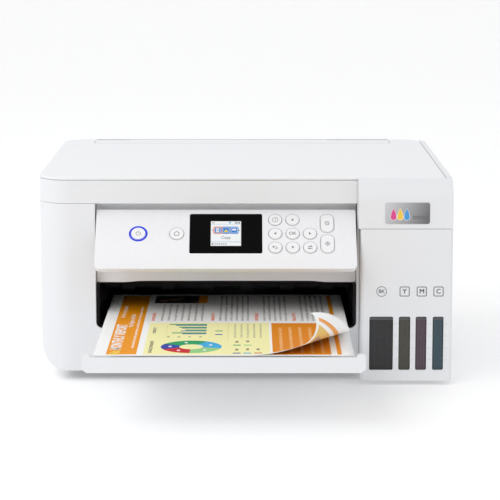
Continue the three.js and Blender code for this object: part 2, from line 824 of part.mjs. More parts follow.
function panelHousing() {
  const y0 = panelFaceThickness + seam;
  const block = prismY(panelOutline(0.4), y0, panelThickness, 5);
  const taper = new THREE.Shape();
  taper.moveTo(panelFootThickness, panelFoot - 1);
  taper.lineTo(panelThickness + 1, panelFoot - 1);
  taper.lineTo(panelThickness + 1, panelFoot + panelTaper);
  taper.lineTo(panelThickness, panelFoot + panelTaper);
  taper.closePath();
  const shape = cut(block, prismX(taper, panelLeft - 1, panelRight + 1));
  const cavity = new THREE.Shape();
  cavity.moveTo(y0 - 1, panelFoot + 6);
  cavity.lineTo(panelFootThickness - 0.5, panelFoot + 6);
  cavity.lineTo(panelThickness - 1.8, panelFoot + panelTaper + 4);
  cavity.lineTo(panelThickness - 1.8, panelTop - 3);
  cavity.lineTo(y0 - 1, panelTop - 3);
  cavity.closePath();
  return cut(shape, prismX(cavity, panelLeft + 4, panelRight - 4));
}

add("panel_face", inPanel(panelFace()), panelWhite, panel);
add("panel_housing", inPanel(panelHousing()), panelWhite, panel);
add(
  "screen",
  inPanel(
    join(
      screenPlate(0, 0, 1.6),
      box(
        displayLeft,
        displayLeft + displaySize,
        1,
        panelFaceThickness + 3,
        screenTop - screenHeight / 2 - displaySize / 2,
        screenTop - screenHeight / 2 + displaySize / 2,
      ),
    ),
  ),
  glossBlack,
  panel,
);
keys.forEach((key) => {
  const body = prismY(keyOutline(key, 0), -0.6, panelFaceThickness + 1, 3);
  const collar = prismY(keyOutline(key, 0.8), panelFaceThickness + 0.3, panelFaceThickness + 1.4, 3);
  const stem = box(key.x - 1.5, key.x + 1.5, panelFaceThickness, panelThickness - 2.4 - keyTravel, key.z - 1.5, key.z + 1.5);
  const fits = key.z > panelFoot + panelTaper + 4;
  add(key.name, inPanel(fits ? join(body, collar, stem) : join(body, collar)), panelWhite, panel);
});

// ---------------------------------------------------------------- output tray and sheets
const trayLeft = openingLeft + loose + traySideInset;
const trayRight = openingRight - loose - traySideInset;
const trayFront = -trayReach + lipThickness + 2 + extensionTravel;

function outputTray() {
  const back = trayFront + extensionTravel + 95;
  const plate = box(trayLeft, trayRight, trayFront, back, trayZ, trayZ + trayPlate);
  const sides = [trayLeft, trayRight - wall].map((x) => box(x, x + wall, trayFront, back, trayZ, lipTop - 0.2));
  return join(plate, ...sides);
}

function trayExtension() {
  const front = -trayReach;
  const back = trayFront + trayHold;
  const x0 = trayLeft + extensionSideInset;
  const x1 = trayRight - extensionSideInset;
  const z0 = trayZ + trayPlate + slip;
  const lip = prismY(
    outline([
      [panelLeft + 4, lipBottom],
      [panelRight - 4, lipBottom],
      [panelRight, lipBottom + 3],
      [panelRight, lipTop + wingHeight, 2],
      [panelRight - wingWidth, lipTop + wingHeight, 1],
      [panelRight - wingWidth - 1, lipTop],
      [panelLeft + wingWidth + 1, lipTop],
      [panelLeft + wingWidth, lipTop + wingHeight, 1],
      [panelLeft, lipTop + wingHeight, 2],
      [panelLeft, lipBottom + 3],
    ]),
    front,
    front + lipThickness,
    3,
  );
  const plate = box(x0, x1, front + lipThickness - 1, back, z0, z0 + trayPlate);
  const ribCount = 5;
  const ribs = Array.from({ length: ribCount }, (_, i) => {
    const x = x0 + ((x1 - x0) * (i + 0.5)) / ribCount;
    return box(x - 0.8, x + 0.8, front + lipThickness - 1, back, z0 + 1, lipTop - 0.2);
  });
  return join(lip, plate, ...ribs);
}

add("output_tray", outputTray(), white);
add("tray_extension", trayExtension(), white);
const sheetFront = -trayReach + 2.5;
add(
  "printed_sheets",
  box(
    openingMiddle - sheetWidth / 2,
    openingMiddle + sheetWidth / 2,
    sheetFront,
    sheetFront + sheetLength,
    sheetZ,
    sheetZ + sheetStack,
  ),
  paper,
);

// ---------------------------------------------------------------- rear paper feed
// Y of the face that the paper leans on, at a height z.
const feedLine = (z, ahead = 0) => supportFace - (bodyHeight - z) * feedTan - ahead;
const slanted = (ahead, thickness, z0, z1) =>
  outline([
    [feedLine(z0, ahead), z0],
    [feedLine(z0, ahead) + thickness, z0],
    [feedLine(z1, ahead) + thickness, z1],
    [feedLine(z1, ahead), z1],
  ]);
const supportDeep = supportThickness / Math.cos(THREE.MathUtils.degToRad(feedSlope));
const supportFootZ = supportTop - supportLength * Math.cos(THREE.MathUtils.degToRad(feedSlope));
const hopperLeft = earLeft + 2 * seam;
const hopperRight = earRight - 2 * seam;
const hopperFoot = bodyHeight - hopperFootDrop;
const hopperBend = bodyHeight - hopperBendDrop;
const hopperTop = bodyHeight - hopperTopDrop;

function feederHousing() {
  const back = prismX(slanted(-supportDeep - 1, 2.2, hopperFoot, hopperTop), hopperLeft, hopperRight);
  const front = prismX(slanted(27, 2.2, hopperFoot, hopperBend), hopperLeft, hopperRight);
  const mouthY = feedCoverFront + slip;
  const mouth = box(hopperLeft, hopperRight, mouthY, mouthY + 2.2, hopperBend - 2, feedPivot.z - 3.4);
  const ledge = box(hopperLeft, hopperRight, feedLine(hopperBend, 27), mouthY + 2, hopperBend - 2.2, hopperBend);
  const sides = [hopperLeft, hopperRight - 2.4].map((x) =>
    join(
      prismX(slanted(27, 27 + supportDeep + 3, hopperFoot, hopperBend), x, x + 2.4),
      prismX(
        outline([
          [mouthY, hopperBend - 1],
          [feedLine(hopperBend - 1) + supportDeep + 3, hopperBend - 1],
          [feedLine(hopperTop) + supportDeep + 3, hopperTop],
          [mouthY, hopperTop],
        ]),
        x,
        x + 2.4,
      ),
    ),
  );
  return join(back, front, mouth, ledge, ...sides);
}

function feederCover() {
  const x0 = hopperLeft;
  const x1 = hopperRight;
  const plate = box(x0, x1, feedCoverFront, feedPivot.y, bodyHeight - lidThickness, bodyHeight);
  const nose = cut(
    alongX(feedCoverNose, x0, x1, feedPivot.y, feedPivot.z, 24),
    box(x0 - 1, x1 + 1, feedPivot.y - 5, feedPivot.y - 0.01, 0, bodyHeight),
  );
  return join(plate, nose);
}

const supportX0 = openingMiddle - supportWidth / 2;
const supportX1 = openingMiddle + supportWidth / 2;
add("feeder_housing", feederHousing(), innerGrey);
add("feeder_cover", feederCover(), lidWhite);
add(
  "paper_support",
  prismX(slanted(0, supportDeep, supportFootZ, supportTop), supportX0, supportX1),
  innerGrey,
);
const guideShape = slanted(guideDepth + 1, guideDepth, hopperTop - 50, hopperTop);
const guideX = sheetWidth / 2 + 1.2;
add(
  "edge_guide_left",
  prismX(guideShape, openingMiddle - guideX - guideBlade, openingMiddle - guideX),
  frameGrey,
);
add(
  "edge_guide_right",
  prismX(guideShape, openingMiddle + guideX, openingMiddle + guideX + guideBlade),
  frameGrey,
);

// ---------------------------------------------------------------- print engine
const railX0 = leftX + 12;
const railX1 = rightX - 8;
const beltZ = railBottom + railHeight - beltDrop;
const beltX0 = railX0 + 14;
const beltX1 = railX1 - 18;
const beltBack = railBack - 2;

function guideRail() {
  const sheet = box(railX0, railX1, railBack, railBack + railThickness, railBottom, railBottom + railHeight);
  const flange = box(railX0, railX1, railBack, railBack + 14, railBottom, railBottom + railThickness);
  const idler = alongY(pulleyRadius, beltX0, beltBack - beltWidth, railBack + 0.5, beltZ);
  const hole = alongY(pulleyRadius + 1, beltX1, railBack - 1, railBack + railThickness + 1, beltZ);
  return cut(join(sheet, flange, idler), hole);
}

function carriageMotor() {
  const y0 = railBack + railThickness + seam;
  const can = alongY(motorRadius, beltX1, y0, y0 + motorLength, beltZ, 24);
  const shaft = alongY(pulleyRadius, beltX1, beltBack - beltWidth, y0 + 1, beltZ);
  return join(can, shaft);
}

function timingBelt() {
  const ring = (radius) =>
    rounded(beltX0 - radius, beltX1 + radius, beltZ - radius, beltZ + radius, radius - 0.01);
  const outer = prismY(ring(beltRadius), beltBack - beltWidth, beltBack, 6);
  return cut(outer, prismY(ring(beltRadius - beltThickness), beltBack - beltWidth - 1, beltBack + 1, 6));
}

function printCarriage() {
  const x0 = carriageHome - carriageWidth / 2;
  const x1 = carriageHome + carriageWidth / 2;
  const y1 = carriageFront + carriageDepth;
  const body = prismZ(rounded(x0, x1, carriageFront, y1, 4), carriageBottom + 4, carriageBottom + carriageHeight, 3);
  const head = box(x0 + 8, x1 - 8, carriageFront + 20, y1 - 24, carriageBottom, carriageBottom + 5);
  const clamp = box(carriageHome - 8, carriageHome + 8, y1 - 5, beltBack - beltWidth - 1, beltZ - 8, beltZ - beltRadius - 0.8);
  const stalk = box(carriageHome - 8, carriageHome + 8, y1 - 5, y1 - 1, carriageBottom + 30, beltZ - 7);
  return join(body, head, clamp, stalk);
}

function platen() {
  const x0 = openingLeft - 4;
  const x1 = openingRight;
  const y0 = exitRollerY + exitRollerRadius + 2;
  const y1 = feedRollerY - feedRollerRadius - 2;
  const bed = box(x0, x1, y0, y1, platenTop - 5, platenTop - 1);
  const ribCount = 12;
  const ribs = Array.from({ length: ribCount }, (_, i) => {
    const x = x0 + ((x1 - x0) * (i + 0.5)) / ribCount;
    return box(x - 0.8, x + 0.8, y0, y1, platenTop - 2, platenTop);
  });
  return join(bed, ...ribs);
}

function maintenanceStation() {
  const x0 = carriageHome - 30;
  const x1 = carriageHome + 30;
  const y1 = carriageFront + carriageDepth;
  const tub = box(x0, x1, carriageFront, y1, bodyBottom + wall + 4, carriageBottom - 6);
  const capRim = cut(
    box(x0 + 12, x1 - 12, carriageFront + 22, y1 - 26, carriageBottom - 7, carriageBottom - 1),
    box(x0 + 14, x1 - 14, carriageFront + 24, y1 - 28, carriageBottom - 5, carriageBottom),
  );
  return join(tub, capRim);
}

function roller(radius, y, z, tyreCount) {
  const x0 = openingLeft + 2;
  const x1 = openingRight - 2;
  const shaft = alongX(radius * 0.5, x0 - 8, x1 + 2, y, z, 12);
  const tyres = Array.from({ length: tyreCount }, (_, i) => {
    const x = x0 + 16 + ((x1 - x0 - 44) * i) / (tyreCount - 1);
    return alongX(radius, x, x + 12, y, z, 14);
  });
  return join(shaft, ...tyres);
}

add("guide_rail", guideRail(), steel);
add("carriage_motor", carriageMotor(), steel);
add("timing_belt", timingBelt(), rubber);
add("print_carriage", printCarriage(), innerBlack);
add("platen", platen(), innerBlack);
add("maintenance_station", maintenanceStation(), frameGrey);
add("feed_roller", roller(feedRollerRadius, feedRollerY, feedRollerZ, 5), steel);
add("exit_roller", roller(exitRollerRadius, exitRollerY, exitRollerZ, 6), rubber);

// ---------------------------------------------------------------- electrics
function powerInlet() {
  const block = through(inletCentre, inletSize, 0, bodyDepth - 20, bodyDepth - 0.5);
  const socket = prismY(
    rounded(inletCentre.x - 8.5, inletCentre.x + 8.5, inletCentre.z - 5, inletCentre.z + 5, 4.5),
    bodyDepth - 13,
    bodyDepth,
    4,
  );
  const pins = [-4.3, 4.3].map((dx) =>
    alongY(1.2, inletCentre.x + dx, bodyDepth - 14, bodyDepth - 6.5, inletCentre.z, 8),
  );
  return join(cut(block, socket), ...pins);
}

function mainBoard() {
  const board = box(tankLeft + 6, rightX - wall - 3, 238, bodyDepth - 18, usbCentre.z - 9, usbCentre.z - 7.4);
  const shell = through(usbCentre, usbSize, -0.5, bodyDepth - 20, bodyDepth - 0.5);
  const lowered = join(shell, box(usbCentre.x - 5, usbCentre.x + 5, bodyDepth - 22, bodyDepth - 18, usbCentre.z - 9, usbCentre.z));
  const mouth = box(usbCentre.x - 4.4, usbCentre.x + 4.4, bodyDepth - 12, bodyDepth, usbCentre.z - 4.1, usbCentre.z + 4.1);
  const tongue = box(usbCentre.x - 2.8, usbCentre.x + 2.8, bodyDepth - 13, bodyDepth - 6, usbCentre.z - 1.2, usbCentre.z + 1.2);
  const chips = [0, 1, 2].map((i) => box(tankLeft + 14 + i * 20, tankLeft + 26 + i * 20, 256, 268, usbCentre.z - 8, usbCentre.z - 5.6));
  return join(board, cut(lowered, mouth), tongue, ...chips);
}

add("power_supply", box(leftX + 9, openingLeft - 6, 180, 296, bodyBottom + 16, 70), steel);
add("power_inlet", powerInlet(), innerBlack);
add("main_board", mainBoard(), finish(0x2f6b45, 0.6));

export default printer;
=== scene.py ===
import json
import math

import bmesh
import bpy
from mathutils import Matrix, Vector

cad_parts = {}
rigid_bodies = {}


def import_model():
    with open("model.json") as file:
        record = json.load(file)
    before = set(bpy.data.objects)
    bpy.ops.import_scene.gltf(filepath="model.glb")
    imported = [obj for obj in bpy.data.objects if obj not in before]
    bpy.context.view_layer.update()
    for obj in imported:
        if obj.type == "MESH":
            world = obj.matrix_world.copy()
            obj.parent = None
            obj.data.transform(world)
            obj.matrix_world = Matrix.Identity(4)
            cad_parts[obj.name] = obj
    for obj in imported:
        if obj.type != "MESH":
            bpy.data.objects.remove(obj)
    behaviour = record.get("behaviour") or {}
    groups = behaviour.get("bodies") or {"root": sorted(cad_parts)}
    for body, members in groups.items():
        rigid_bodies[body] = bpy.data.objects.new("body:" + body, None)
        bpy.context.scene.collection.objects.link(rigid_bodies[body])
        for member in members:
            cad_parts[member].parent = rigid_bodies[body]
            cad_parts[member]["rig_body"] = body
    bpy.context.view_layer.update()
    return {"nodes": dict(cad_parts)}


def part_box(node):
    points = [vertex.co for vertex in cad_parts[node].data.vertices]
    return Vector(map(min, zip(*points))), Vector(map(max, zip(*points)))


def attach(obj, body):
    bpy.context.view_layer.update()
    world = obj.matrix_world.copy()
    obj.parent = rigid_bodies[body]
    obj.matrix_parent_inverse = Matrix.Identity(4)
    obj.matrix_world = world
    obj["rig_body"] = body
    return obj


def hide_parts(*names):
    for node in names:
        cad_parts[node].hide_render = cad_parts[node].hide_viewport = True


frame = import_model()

scene = bpy.context.scene
nodes = frame["nodes"]
mm = 0.001
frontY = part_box("front_cover")[0].y  # main front plane of the case


def at(x, y, z):  # case millimetres to the scene
    return Vector((x * mm, frontY + y * mm, z * mm))


print("printer: frame loaded")

# camera, backdrop and light

studio = {
    "lens": 153.1,
    "cameraAt": (0.0038, -1.972, 0.4283),
    "cameraTilt": 80.83,
    "cameraYaw": -0.035,
    "worldTint": (0.985, 0.99, 1, 1),
    "worldStrength": 0.77,
    "aim": (0, 0.05, 0.1),
    "lightSize": 1.2,
    "keyAt": (-1.0, -1.4, 1.6),
    "keyPower": 10,
    "sideAt": (-1.4, 0.1, 1.9),
    "sidePower": 6,
    "floorShade": 0.88,
    "floorGlow": 0.2,
    "floorFront": -16,
    "floorBack": 2.5,
    "floorHalf": 9,
    "bend": 1.0,
    "bendSteps": 12,
    "wallTop": 5,
}

scene.view_settings.view_transform = "Standard"

cameraData = bpy.data.cameras.new("studioCamera")
cameraData.lens = studio["lens"]
cameraData.clip_end = 50
camera = bpy.data.objects.new("studioCamera", cameraData)
camera.location = studio["cameraAt"]
camera.rotation_euler = (math.radians(studio["cameraTilt"]), 0, math.radians(studio["cameraYaw"]))
scene.collection.objects.link(camera)
scene.camera = camera


def areaLight(name, spot, power):
    data = bpy.data.lights.new(name, "AREA")
    data.shape = "RECTANGLE"
    data.size = data.size_y = studio["lightSize"]
    data.energy = power
    light = bpy.data.objects.new(name, data)
    light.location = spot
    light.rotation_euler = (Vector(studio["aim"]) - Vector(spot)).to_track_quat("-Z", "Y").to_euler()
    scene.collection.objects.link(light)


areaLight("keyLight", studio["keyAt"], studio["keyPower"])
areaLight("sideLight", studio["sideAt"], studio["sidePower"])

world = bpy.data.worlds.new("studioWorld")
world.use_nodes = True
sky = world.node_tree.nodes["Background"].inputs
sky["Color"].default_value = studio["worldTint"]
sky["Strength"].default_value = studio["worldStrength"]
scene.world = world


# shader maths

class Value:  # one socket of a node, used in expressions
    def __init__(self, look, socket):
        self.look = look
        self.socket = socket

    def math(self, operation, *others):
        return self.look.node("ShaderNodeMath", {"operation": operation}, [self, *others])

    def __add__(self, other):
        return self.math("ADD", other)

    def __sub__(self, other):
        return self.math("SUBTRACT", other)

    def __rsub__(self, other):
        return self.look.node("ShaderNodeMath", {"operation": "SUBTRACT"}, [other, self])

    def __mul__(self, other):
        return self.math("MULTIPLY", other)

    def __truediv__(self, other):
        return self.math("DIVIDE", other)

    def __gt__(self, other):
        return self.math("GREATER_THAN", other)

    def __lt__(self, other):
        return self.math("LESS_THAN", other)

    __radd__ = __add__
    __rmul__ = __mul__

    def near(self, middle, reach):  # 1 within reach of middle
        return self.math("COMPARE", middle, reach)

    def peak(self, other):
        return self.math("MAXIMUM", other)

    def low(self, other):
        return self.math("MINIMUM", other)


class Look:  # a material and its node tree
    def __init__(self, name, colour, roughness, **constants):
        self.material = bpy.data.materials.new(name)
        self.material.use_nodes = True
        self.tree = self.material.node_tree
        self.shader = self.tree.nodes["Principled BSDF"]
        self.shader.inputs["Base Color"].default_value = (*colour, 1)
        self.shader.inputs["Roughness"].default_value = roughness
        self.material.diffuse_color = (*colour, 1)
        for socket, amount in constants.items():
            self.shader.inputs[socket.replace("_", " ")].default_value = amount

    def node(self, kind, settings=None, sockets=None, out=0):
        made = self.tree.nodes.new(kind)
        for key, setting in (settings or {}).items():
            setattr(made, key, setting)
        pairs = sockets.items() if isinstance(sockets, dict) else enumerate(sockets or [])
        for key, given in pairs:
            if isinstance(given, Value):
                self.tree.links.new(given.socket, made.inputs[key])
            else:
                made.inputs[key].default_value = given
        return Value(self, made.outputs[out])

    def feed(self, socket, value):
        self.tree.links.new(value.socket, self.shader.inputs[socket])

    def mix(self, factor, first, second):  # sockets 6 and 7 are the two colours
        first, second = ((*c, 1) if isinstance(c, tuple) else c for c in (first, second))
        return self.node("ShaderNodeMix", {"data_type": "RGBA"}, {0: factor, 6: first, 7: second}, 2)

    def noise(self, scale, detail=2.0, vector=None, roughness=0.5):
        sockets = {"Scale": scale, "Detail": detail, "Roughness": roughness}
        sockets["Vector"] = vector or self.here()
        return self.node("ShaderNodeTexNoise", {}, sockets)

    def here(self):  # object coordinates
        return self.node("ShaderNodeTexCoord", {}, {}, 3)

    def axes(self):  # case millimetres of the shaded point
        split = self.node("ShaderNodeSeparateXYZ", {}, [self.here()])
        x, y, z = (Value(self, output) for output in split.socket.node.outputs)
        return x * 1000, (y - frontY) * 1000, z * 1000

    def bump(self, height, strength, distance, under=None):
        sockets = {"Height": height, "Strength": strength, "Distance": distance}
        if under:
            sockets["Normal"] = under
        return self.node("ShaderNodeBump", {}, sockets)


def srgb(*tint):  # 0 to 255 into linear light
    return tuple(((c / 255 + 0.055) / 1.055) ** 2.4 if c > 10 else c / 3294.6 for c in tint)


def darker(colour, share):
    return tuple(c * share for c in colour)


plasticDetail = {
    "broadScale": 14, "smudgeScale": 60, "waveDepth": 0.0008, "grainDepth": 0.00006,
    "grooveDepth": 0.00016, "grooveShade": 0.12,
    "slope": (-0.7009, 0.7133),  # back and up the tilted control panel
}


def mouldedPlastic(
    name, colour, roughness, grain=0.25, pitch=1900, mottle=0.02, diamonds=None, **constants
):
    look = Look(name, colour, roughness, **constants)
    broad = look.noise(plasticDetail["broadScale"], 3)
    fine = look.noise(pitch, 2)
    shade = look.mix(broad * mottle * 2, colour, darker(colour, 0.86))
    shade = look.mix(fine * mottle, shade, darker(colour, 0.7))
    relief = look.bump(broad, 0.04, plasticDetail["waveDepth"])
    if diamonds:  # fine crossed grooves in the surface, in millimetres across and down
        x, y, z = look.axes()
        back, up = plasticDetail["slope"]
        down = y * back + z * up
        wide, high = diamonds
        one = (x * (math.tau / wide) + down * (math.tau / high)).math("SINE")
        two = (x * (math.tau / wide) - down * (math.tau / high)).math("SINE")
        net = one * two
        relief = look.bump(net, 0.8, plasticDetail["grooveDepth"], relief)
        shade = look.mix((net * 0.5 + 0.5) * plasticDetail["grooveShade"], shade, darker(colour, 0.82))
    look.feed("Base Color", shade)
    smudge = look.noise(plasticDetail["smudgeScale"], 4, roughness=0.65)
    look.feed("Roughness", smudge * 0.08 + fine * 0.06 + (roughness - 0.07))
    look.feed("Normal", look.bump(fine, grain, plasticDetail["grainDepth"], relief))
    return look


# finish: colour, roughness and what differs from plain moulded plastic
finishes = {
    "caseWhite": ((233, 234, 236), 0.42, {"grain": 0.3}),
    "lidWhite": ((240, 241, 243), 0.5, {"grain": 0.4, "pitch": 1500}),
    "panelWhite": ((245, 245, 247), 0.45, {"diamonds": (2.3, 1.15)}),
    "keyWhite": ((244, 244, 245), 0.38, {"grain": 0.1}),
    "innerGrey": ((196, 197, 201), 0.5, {}),
    "frameGrey": ((128, 131, 135), 0.55, {"mottle": 0.04}),
    "innerBlack": ((15, 15, 16), 0.55, {"mottle": 0.08, "Specular_IOR_Level": 0.25}),
    # painted light: the panel recess and the feeder housing are whiter than the case, to lift the shade
    # inside them
    "recessPaintedLight": ((244, 245, 247), 0.5, {}),
    "footRubber": ((62, 62, 64), 0.85, {"grain": 0.6, "pitch": 900}),
    "padFoam": ((238, 238, 234), 0.9, {"grain": 0.9, "pitch": 1100}),
    "glossBlack": ((5, 5, 6), 0.14, {"grain": 0.02, "Specular_IOR_Level": 0.06}),
    "boardGreen": ((38, 92, 62), 0.4, {"mottle": 0.1}),
    "paper": ((244, 244, 241), 0.75, {"grain": 0.35, "pitch": 2600}),
}
looks = {
    name: mouldedPlastic(name, srgb(*tint), roughness, **detail)
    for name, (tint, roughness, detail) in finishes.items()
}


def brushedSteel():
    look = Look("railSteel", srgb(176, 180, 184), 0.3, Metallic=1.0)
    drawn = look.node("ShaderNodeMapping", {}, {"Vector": look.here(), "Scale": (6, 900, 900)})
    streak = look.noise(4, 4, drawn)
    look.feed("Roughness", streak * 0.22 + 0.2)
    look.feed("Base Color", look.mix(streak * 0.3, srgb(176, 180, 184), srgb(120, 124, 130)))
    look.feed("Normal", look.bump(streak, 0.12, 0.0001))
    return look


looks["railSteel"] = brushedSteel()


def clearGlass():
    look = Look("scanGlass", srgb(232, 243, 238), 0.02, Transmission_Weight=1.0, IOR=1.5)
    look.feed("Roughness", look.noise(45, 5) * 0.03 + 0.005)
    return look


looks["scanGlass"] = clearGlass()


# ink: left edge and width of its window, and the colour seen through it
tankDetail = {
    "black": ((112.6, 21.6), (56, 56, 58)),
    "yellow": ((139.1, 10.6), (80, 77, 69)),
    "magenta": ((154.3, 10.1), (92, 74, 86)),
    "cyan": ((169.7, 10.0), (64, 84, 95)),
}


# rim is the width of the painted shade along each side of a window
tankWall = {"rim": 0.7, "levels": (20, 32, 44), "air": 61.0, "airHalf": 1.3}


def inkTank(name):  # a clear wall with ink behind it, its meniscus and moulded level lines
    (left, width), tone = tankDetail[name]
    ink = srgb(*tone)
    deep = darker(ink, 0.62 if name == "black" else 0.86)
    look = Look(name, deep, 0.2, Specular_IOR_Level=0.35)
    x, y, z = look.axes()
    mottle = look.noise(120, 3)
    base = look.mix(mottle * 0.3, deep, darker(ink, 0.6))
    middle = left + width / 2
    # painted shade: the ink is darkened in a band along each side of the window
    rim = (x - middle).math("ABSOLUTE") > width / 2 - tankWall["rim"]
    base = look.mix(rim * 0.45, base, (0.008, 0.008, 0.009))
    step = x.near(left + width * 0.24, 0.25) * 0.4
    farStep = x.near(left + width * 0.78, 0.2) * 0.3
    low, half, high = (z.near(level, 0.25) for level in tankWall["levels"])
    ticks = half.peak(high).peak(low) * x.near(middle, width * 0.14) * 0.35
    lines = step.peak(farStep).peak(ticks)
    base = look.mix(lines, base, tuple(c * 1.5 + 0.01 for c in ink))
    air = z.near(tankWall["air"], tankWall["airHalf"]) * 0.8
    look.feed("Base Color", look.mix(air, base, srgb(96, 96, 97)))
    look.feed("Roughness", mottle * 0.12 + 0.16)
    look.feed("Normal", look.bump(lines.peak(air), 0.3, 0.0002))
    return look


for colourName, (window, tone) in tankDetail.items():
    looks[colourName + "Tank"] = inkTank(colourName)
    capTint = [min(255, int(c * 1.15)) for c in tone]
    looks[colourName + "Cap"] = mouldedPlastic(colourName + "Cap", srgb(*capTint), 0.5)

print("printer: materials ready")


# the moulded parts, with their edges broken; angles in degrees
softening = {"weld": 3e-6, "flat": 0.6, "steps": 2, "sharp": 32, "faceWeight": 80}


def softCopy(node, look, width):
    mesh = nodes[node].data.copy()
    shape = bmesh.new()
    shape.from_mesh(mesh)
    bmesh.ops.remove_doubles(shape, verts=shape.verts, dist=softening["weld"])
    flat = math.radians(softening["flat"])
    bmesh.ops.dissolve_limit(shape, angle_limit=flat, verts=shape.verts, edges=shape.edges)
    for face in shape.faces:
        face.smooth = True
    shape.to_mesh(mesh)
    shape.free()
    mesh.materials.clear()
    mesh.materials.append(looks[look].material)
    piece = bpy.data.objects.new(node + "_shell", mesh)
    scene.collection.objects.link(piece)
    edge = piece.modifiers.new("brokenEdges", "BEVEL")
    edge.width = width * mm
    edge.segments = softening["steps"]
    edge.limit_method = "ANGLE"
    edge.angle_limit = math.radians(softening["sharp"])
    edge.use_clamp_overlap = True
    even = piece.modifiers.new("evenNormals", "WEIGHTED_NORMAL")
    even.weight = softening["faceWeight"]
    even.keep_sharp = True
    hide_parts(node)
    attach(piece, nodes[node]["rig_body"])
    return piece


# node: look, record slot, edge width
shells = {
    "front_cover": ("caseWhite", "case_white", 0.6),
    "base_case": ("frameGrey", "frame_grey", 0.3),
    "rear_cover": ("caseWhite", "case_white", 0.6),
    "panel_recess": ("recessPaintedLight", "inner_grey", 0.4),
    "exit_lining": ("innerBlack", "inner_black", 0.4),
    "upper_frame": ("frameGrey", "frame_grey", 0.3),
    "tank_housing": ("caseWhite", "case_white", 0.6),
    "tank_face": ("caseWhite", "case_white", 0.5),
    "tank_cover": ("caseWhite", "case_white", 0.6),
    "scanner_housing": ("caseWhite", "case_white", 0.1),
    "platen_glass": ("scanGlass", "scan_glass", 0.2),
    "scan_carriage": ("innerBlack", "inner_black", 0.4),
    "document_lid": ("lidWhite", "lid_white", 0.6),
    "document_pad": ("padFoam", "pad_foam", 0.6),
    "panel_face": ("panelWhite", "panel_white", 0.5),
    "panel_housing": ("panelWhite", "panel_white", 0.5),
    "screen": ("glossBlack", "screen_black", 0.25),
    "output_tray": ("caseWhite", "tray_white", 0.4),
    "tray_extension": ("caseWhite", "tray_white", 0.5),
    "feeder_housing": ("recessPaintedLight", "inner_grey", 0.4),
    "feeder_cover": ("lidWhite", "lid_white", 0.6),
    "paper_support": ("caseWhite", "tray_white", 0.4),
    "edge_guide_left": ("innerGrey", "inner_grey", 0.3),
    "edge_guide_right": ("innerGrey", "inner_grey", 0.3),
    "guide_rail": ("railSteel", "rail_steel", 0.2),
    "carriage_motor": ("railSteel", "rail_steel", 0.3),
    "timing_belt": ("footRubber", "belt_rubber", 0.2),
    "print_carriage": ("innerBlack", "inner_black", 0.4),
    "platen": ("innerBlack", "inner_black", 0.3),
    "maintenance_station": ("frameGrey", "frame_grey", 0.3),
    "feed_roller": ("railSteel", "rail_steel", 0.2),
    "exit_roller": ("footRubber", "foot_rubber", 0.2),
    "power_supply": ("railSteel", "rail_steel", 0.4),
    "power_inlet": ("innerBlack", "inner_black", 0.3),
    "main_board": ("boardGreen", "board_green", 0.15),
}
for place in ("front_left", "front_right", "rear_left", "rear_right"):
    shells["foot_" + place] = ("footRubber", "foot_rubber", 0.6)
for key in (
    "power", "home", "help", "up", "left", "ok", "right", "back", "down", "settings", "stop", "start"
):
    shells[key + "_button"] = ("keyWhite", "key_white", 0.35)
for colourName in tankDetail:
    shells[colourName + "_ink_tank"] = (colourName + "Tank", colourName + "_ink", 0.3)
    shells[colourName + "_filler_cap"] = (colourName + "Cap", colourName + "_cap", 0.4)

lidDetail = {"sink": 0.3, "round": 1.3, "steps": 3, "near": 0.05}


def roundTop(piece, node):  # the lower edge stays sharp and close to the seam
    low, high = (corner.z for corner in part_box(node))
    near = lidDetail["near"] * mm
    weights = piece.data.attributes.new("bevel_weight_edge", "FLOAT", "EDGE")
    for edge in piece.data.edges:
        ends = [piece.data.vertices[v].co.z for v in edge.vertices]
        weights.data[edge.index].value = float(min(ends) > high - near)
    if node == "document_lid":
        for vert in piece.data.vertices:
            if vert.co.z < low + near:
                vert.co.z -= lidDetail["sink"] * mm
    bevel = piece.modifiers["brokenEdges"]
    bevel.limit_method = "WEIGHT"
    bevel.width = lidDetail["round"] * mm
    bevel.segments = lidDetail["steps"]


for node, (look, slot, width) in shells.items():
    piece = softCopy(node, look, width)
    if node in ("document_lid", "feeder_cover"):
        roundTop(piece, node)

print("printer: moulded parts softened")

# flat printed and raised marks, drawn in two measures and laid on a surface

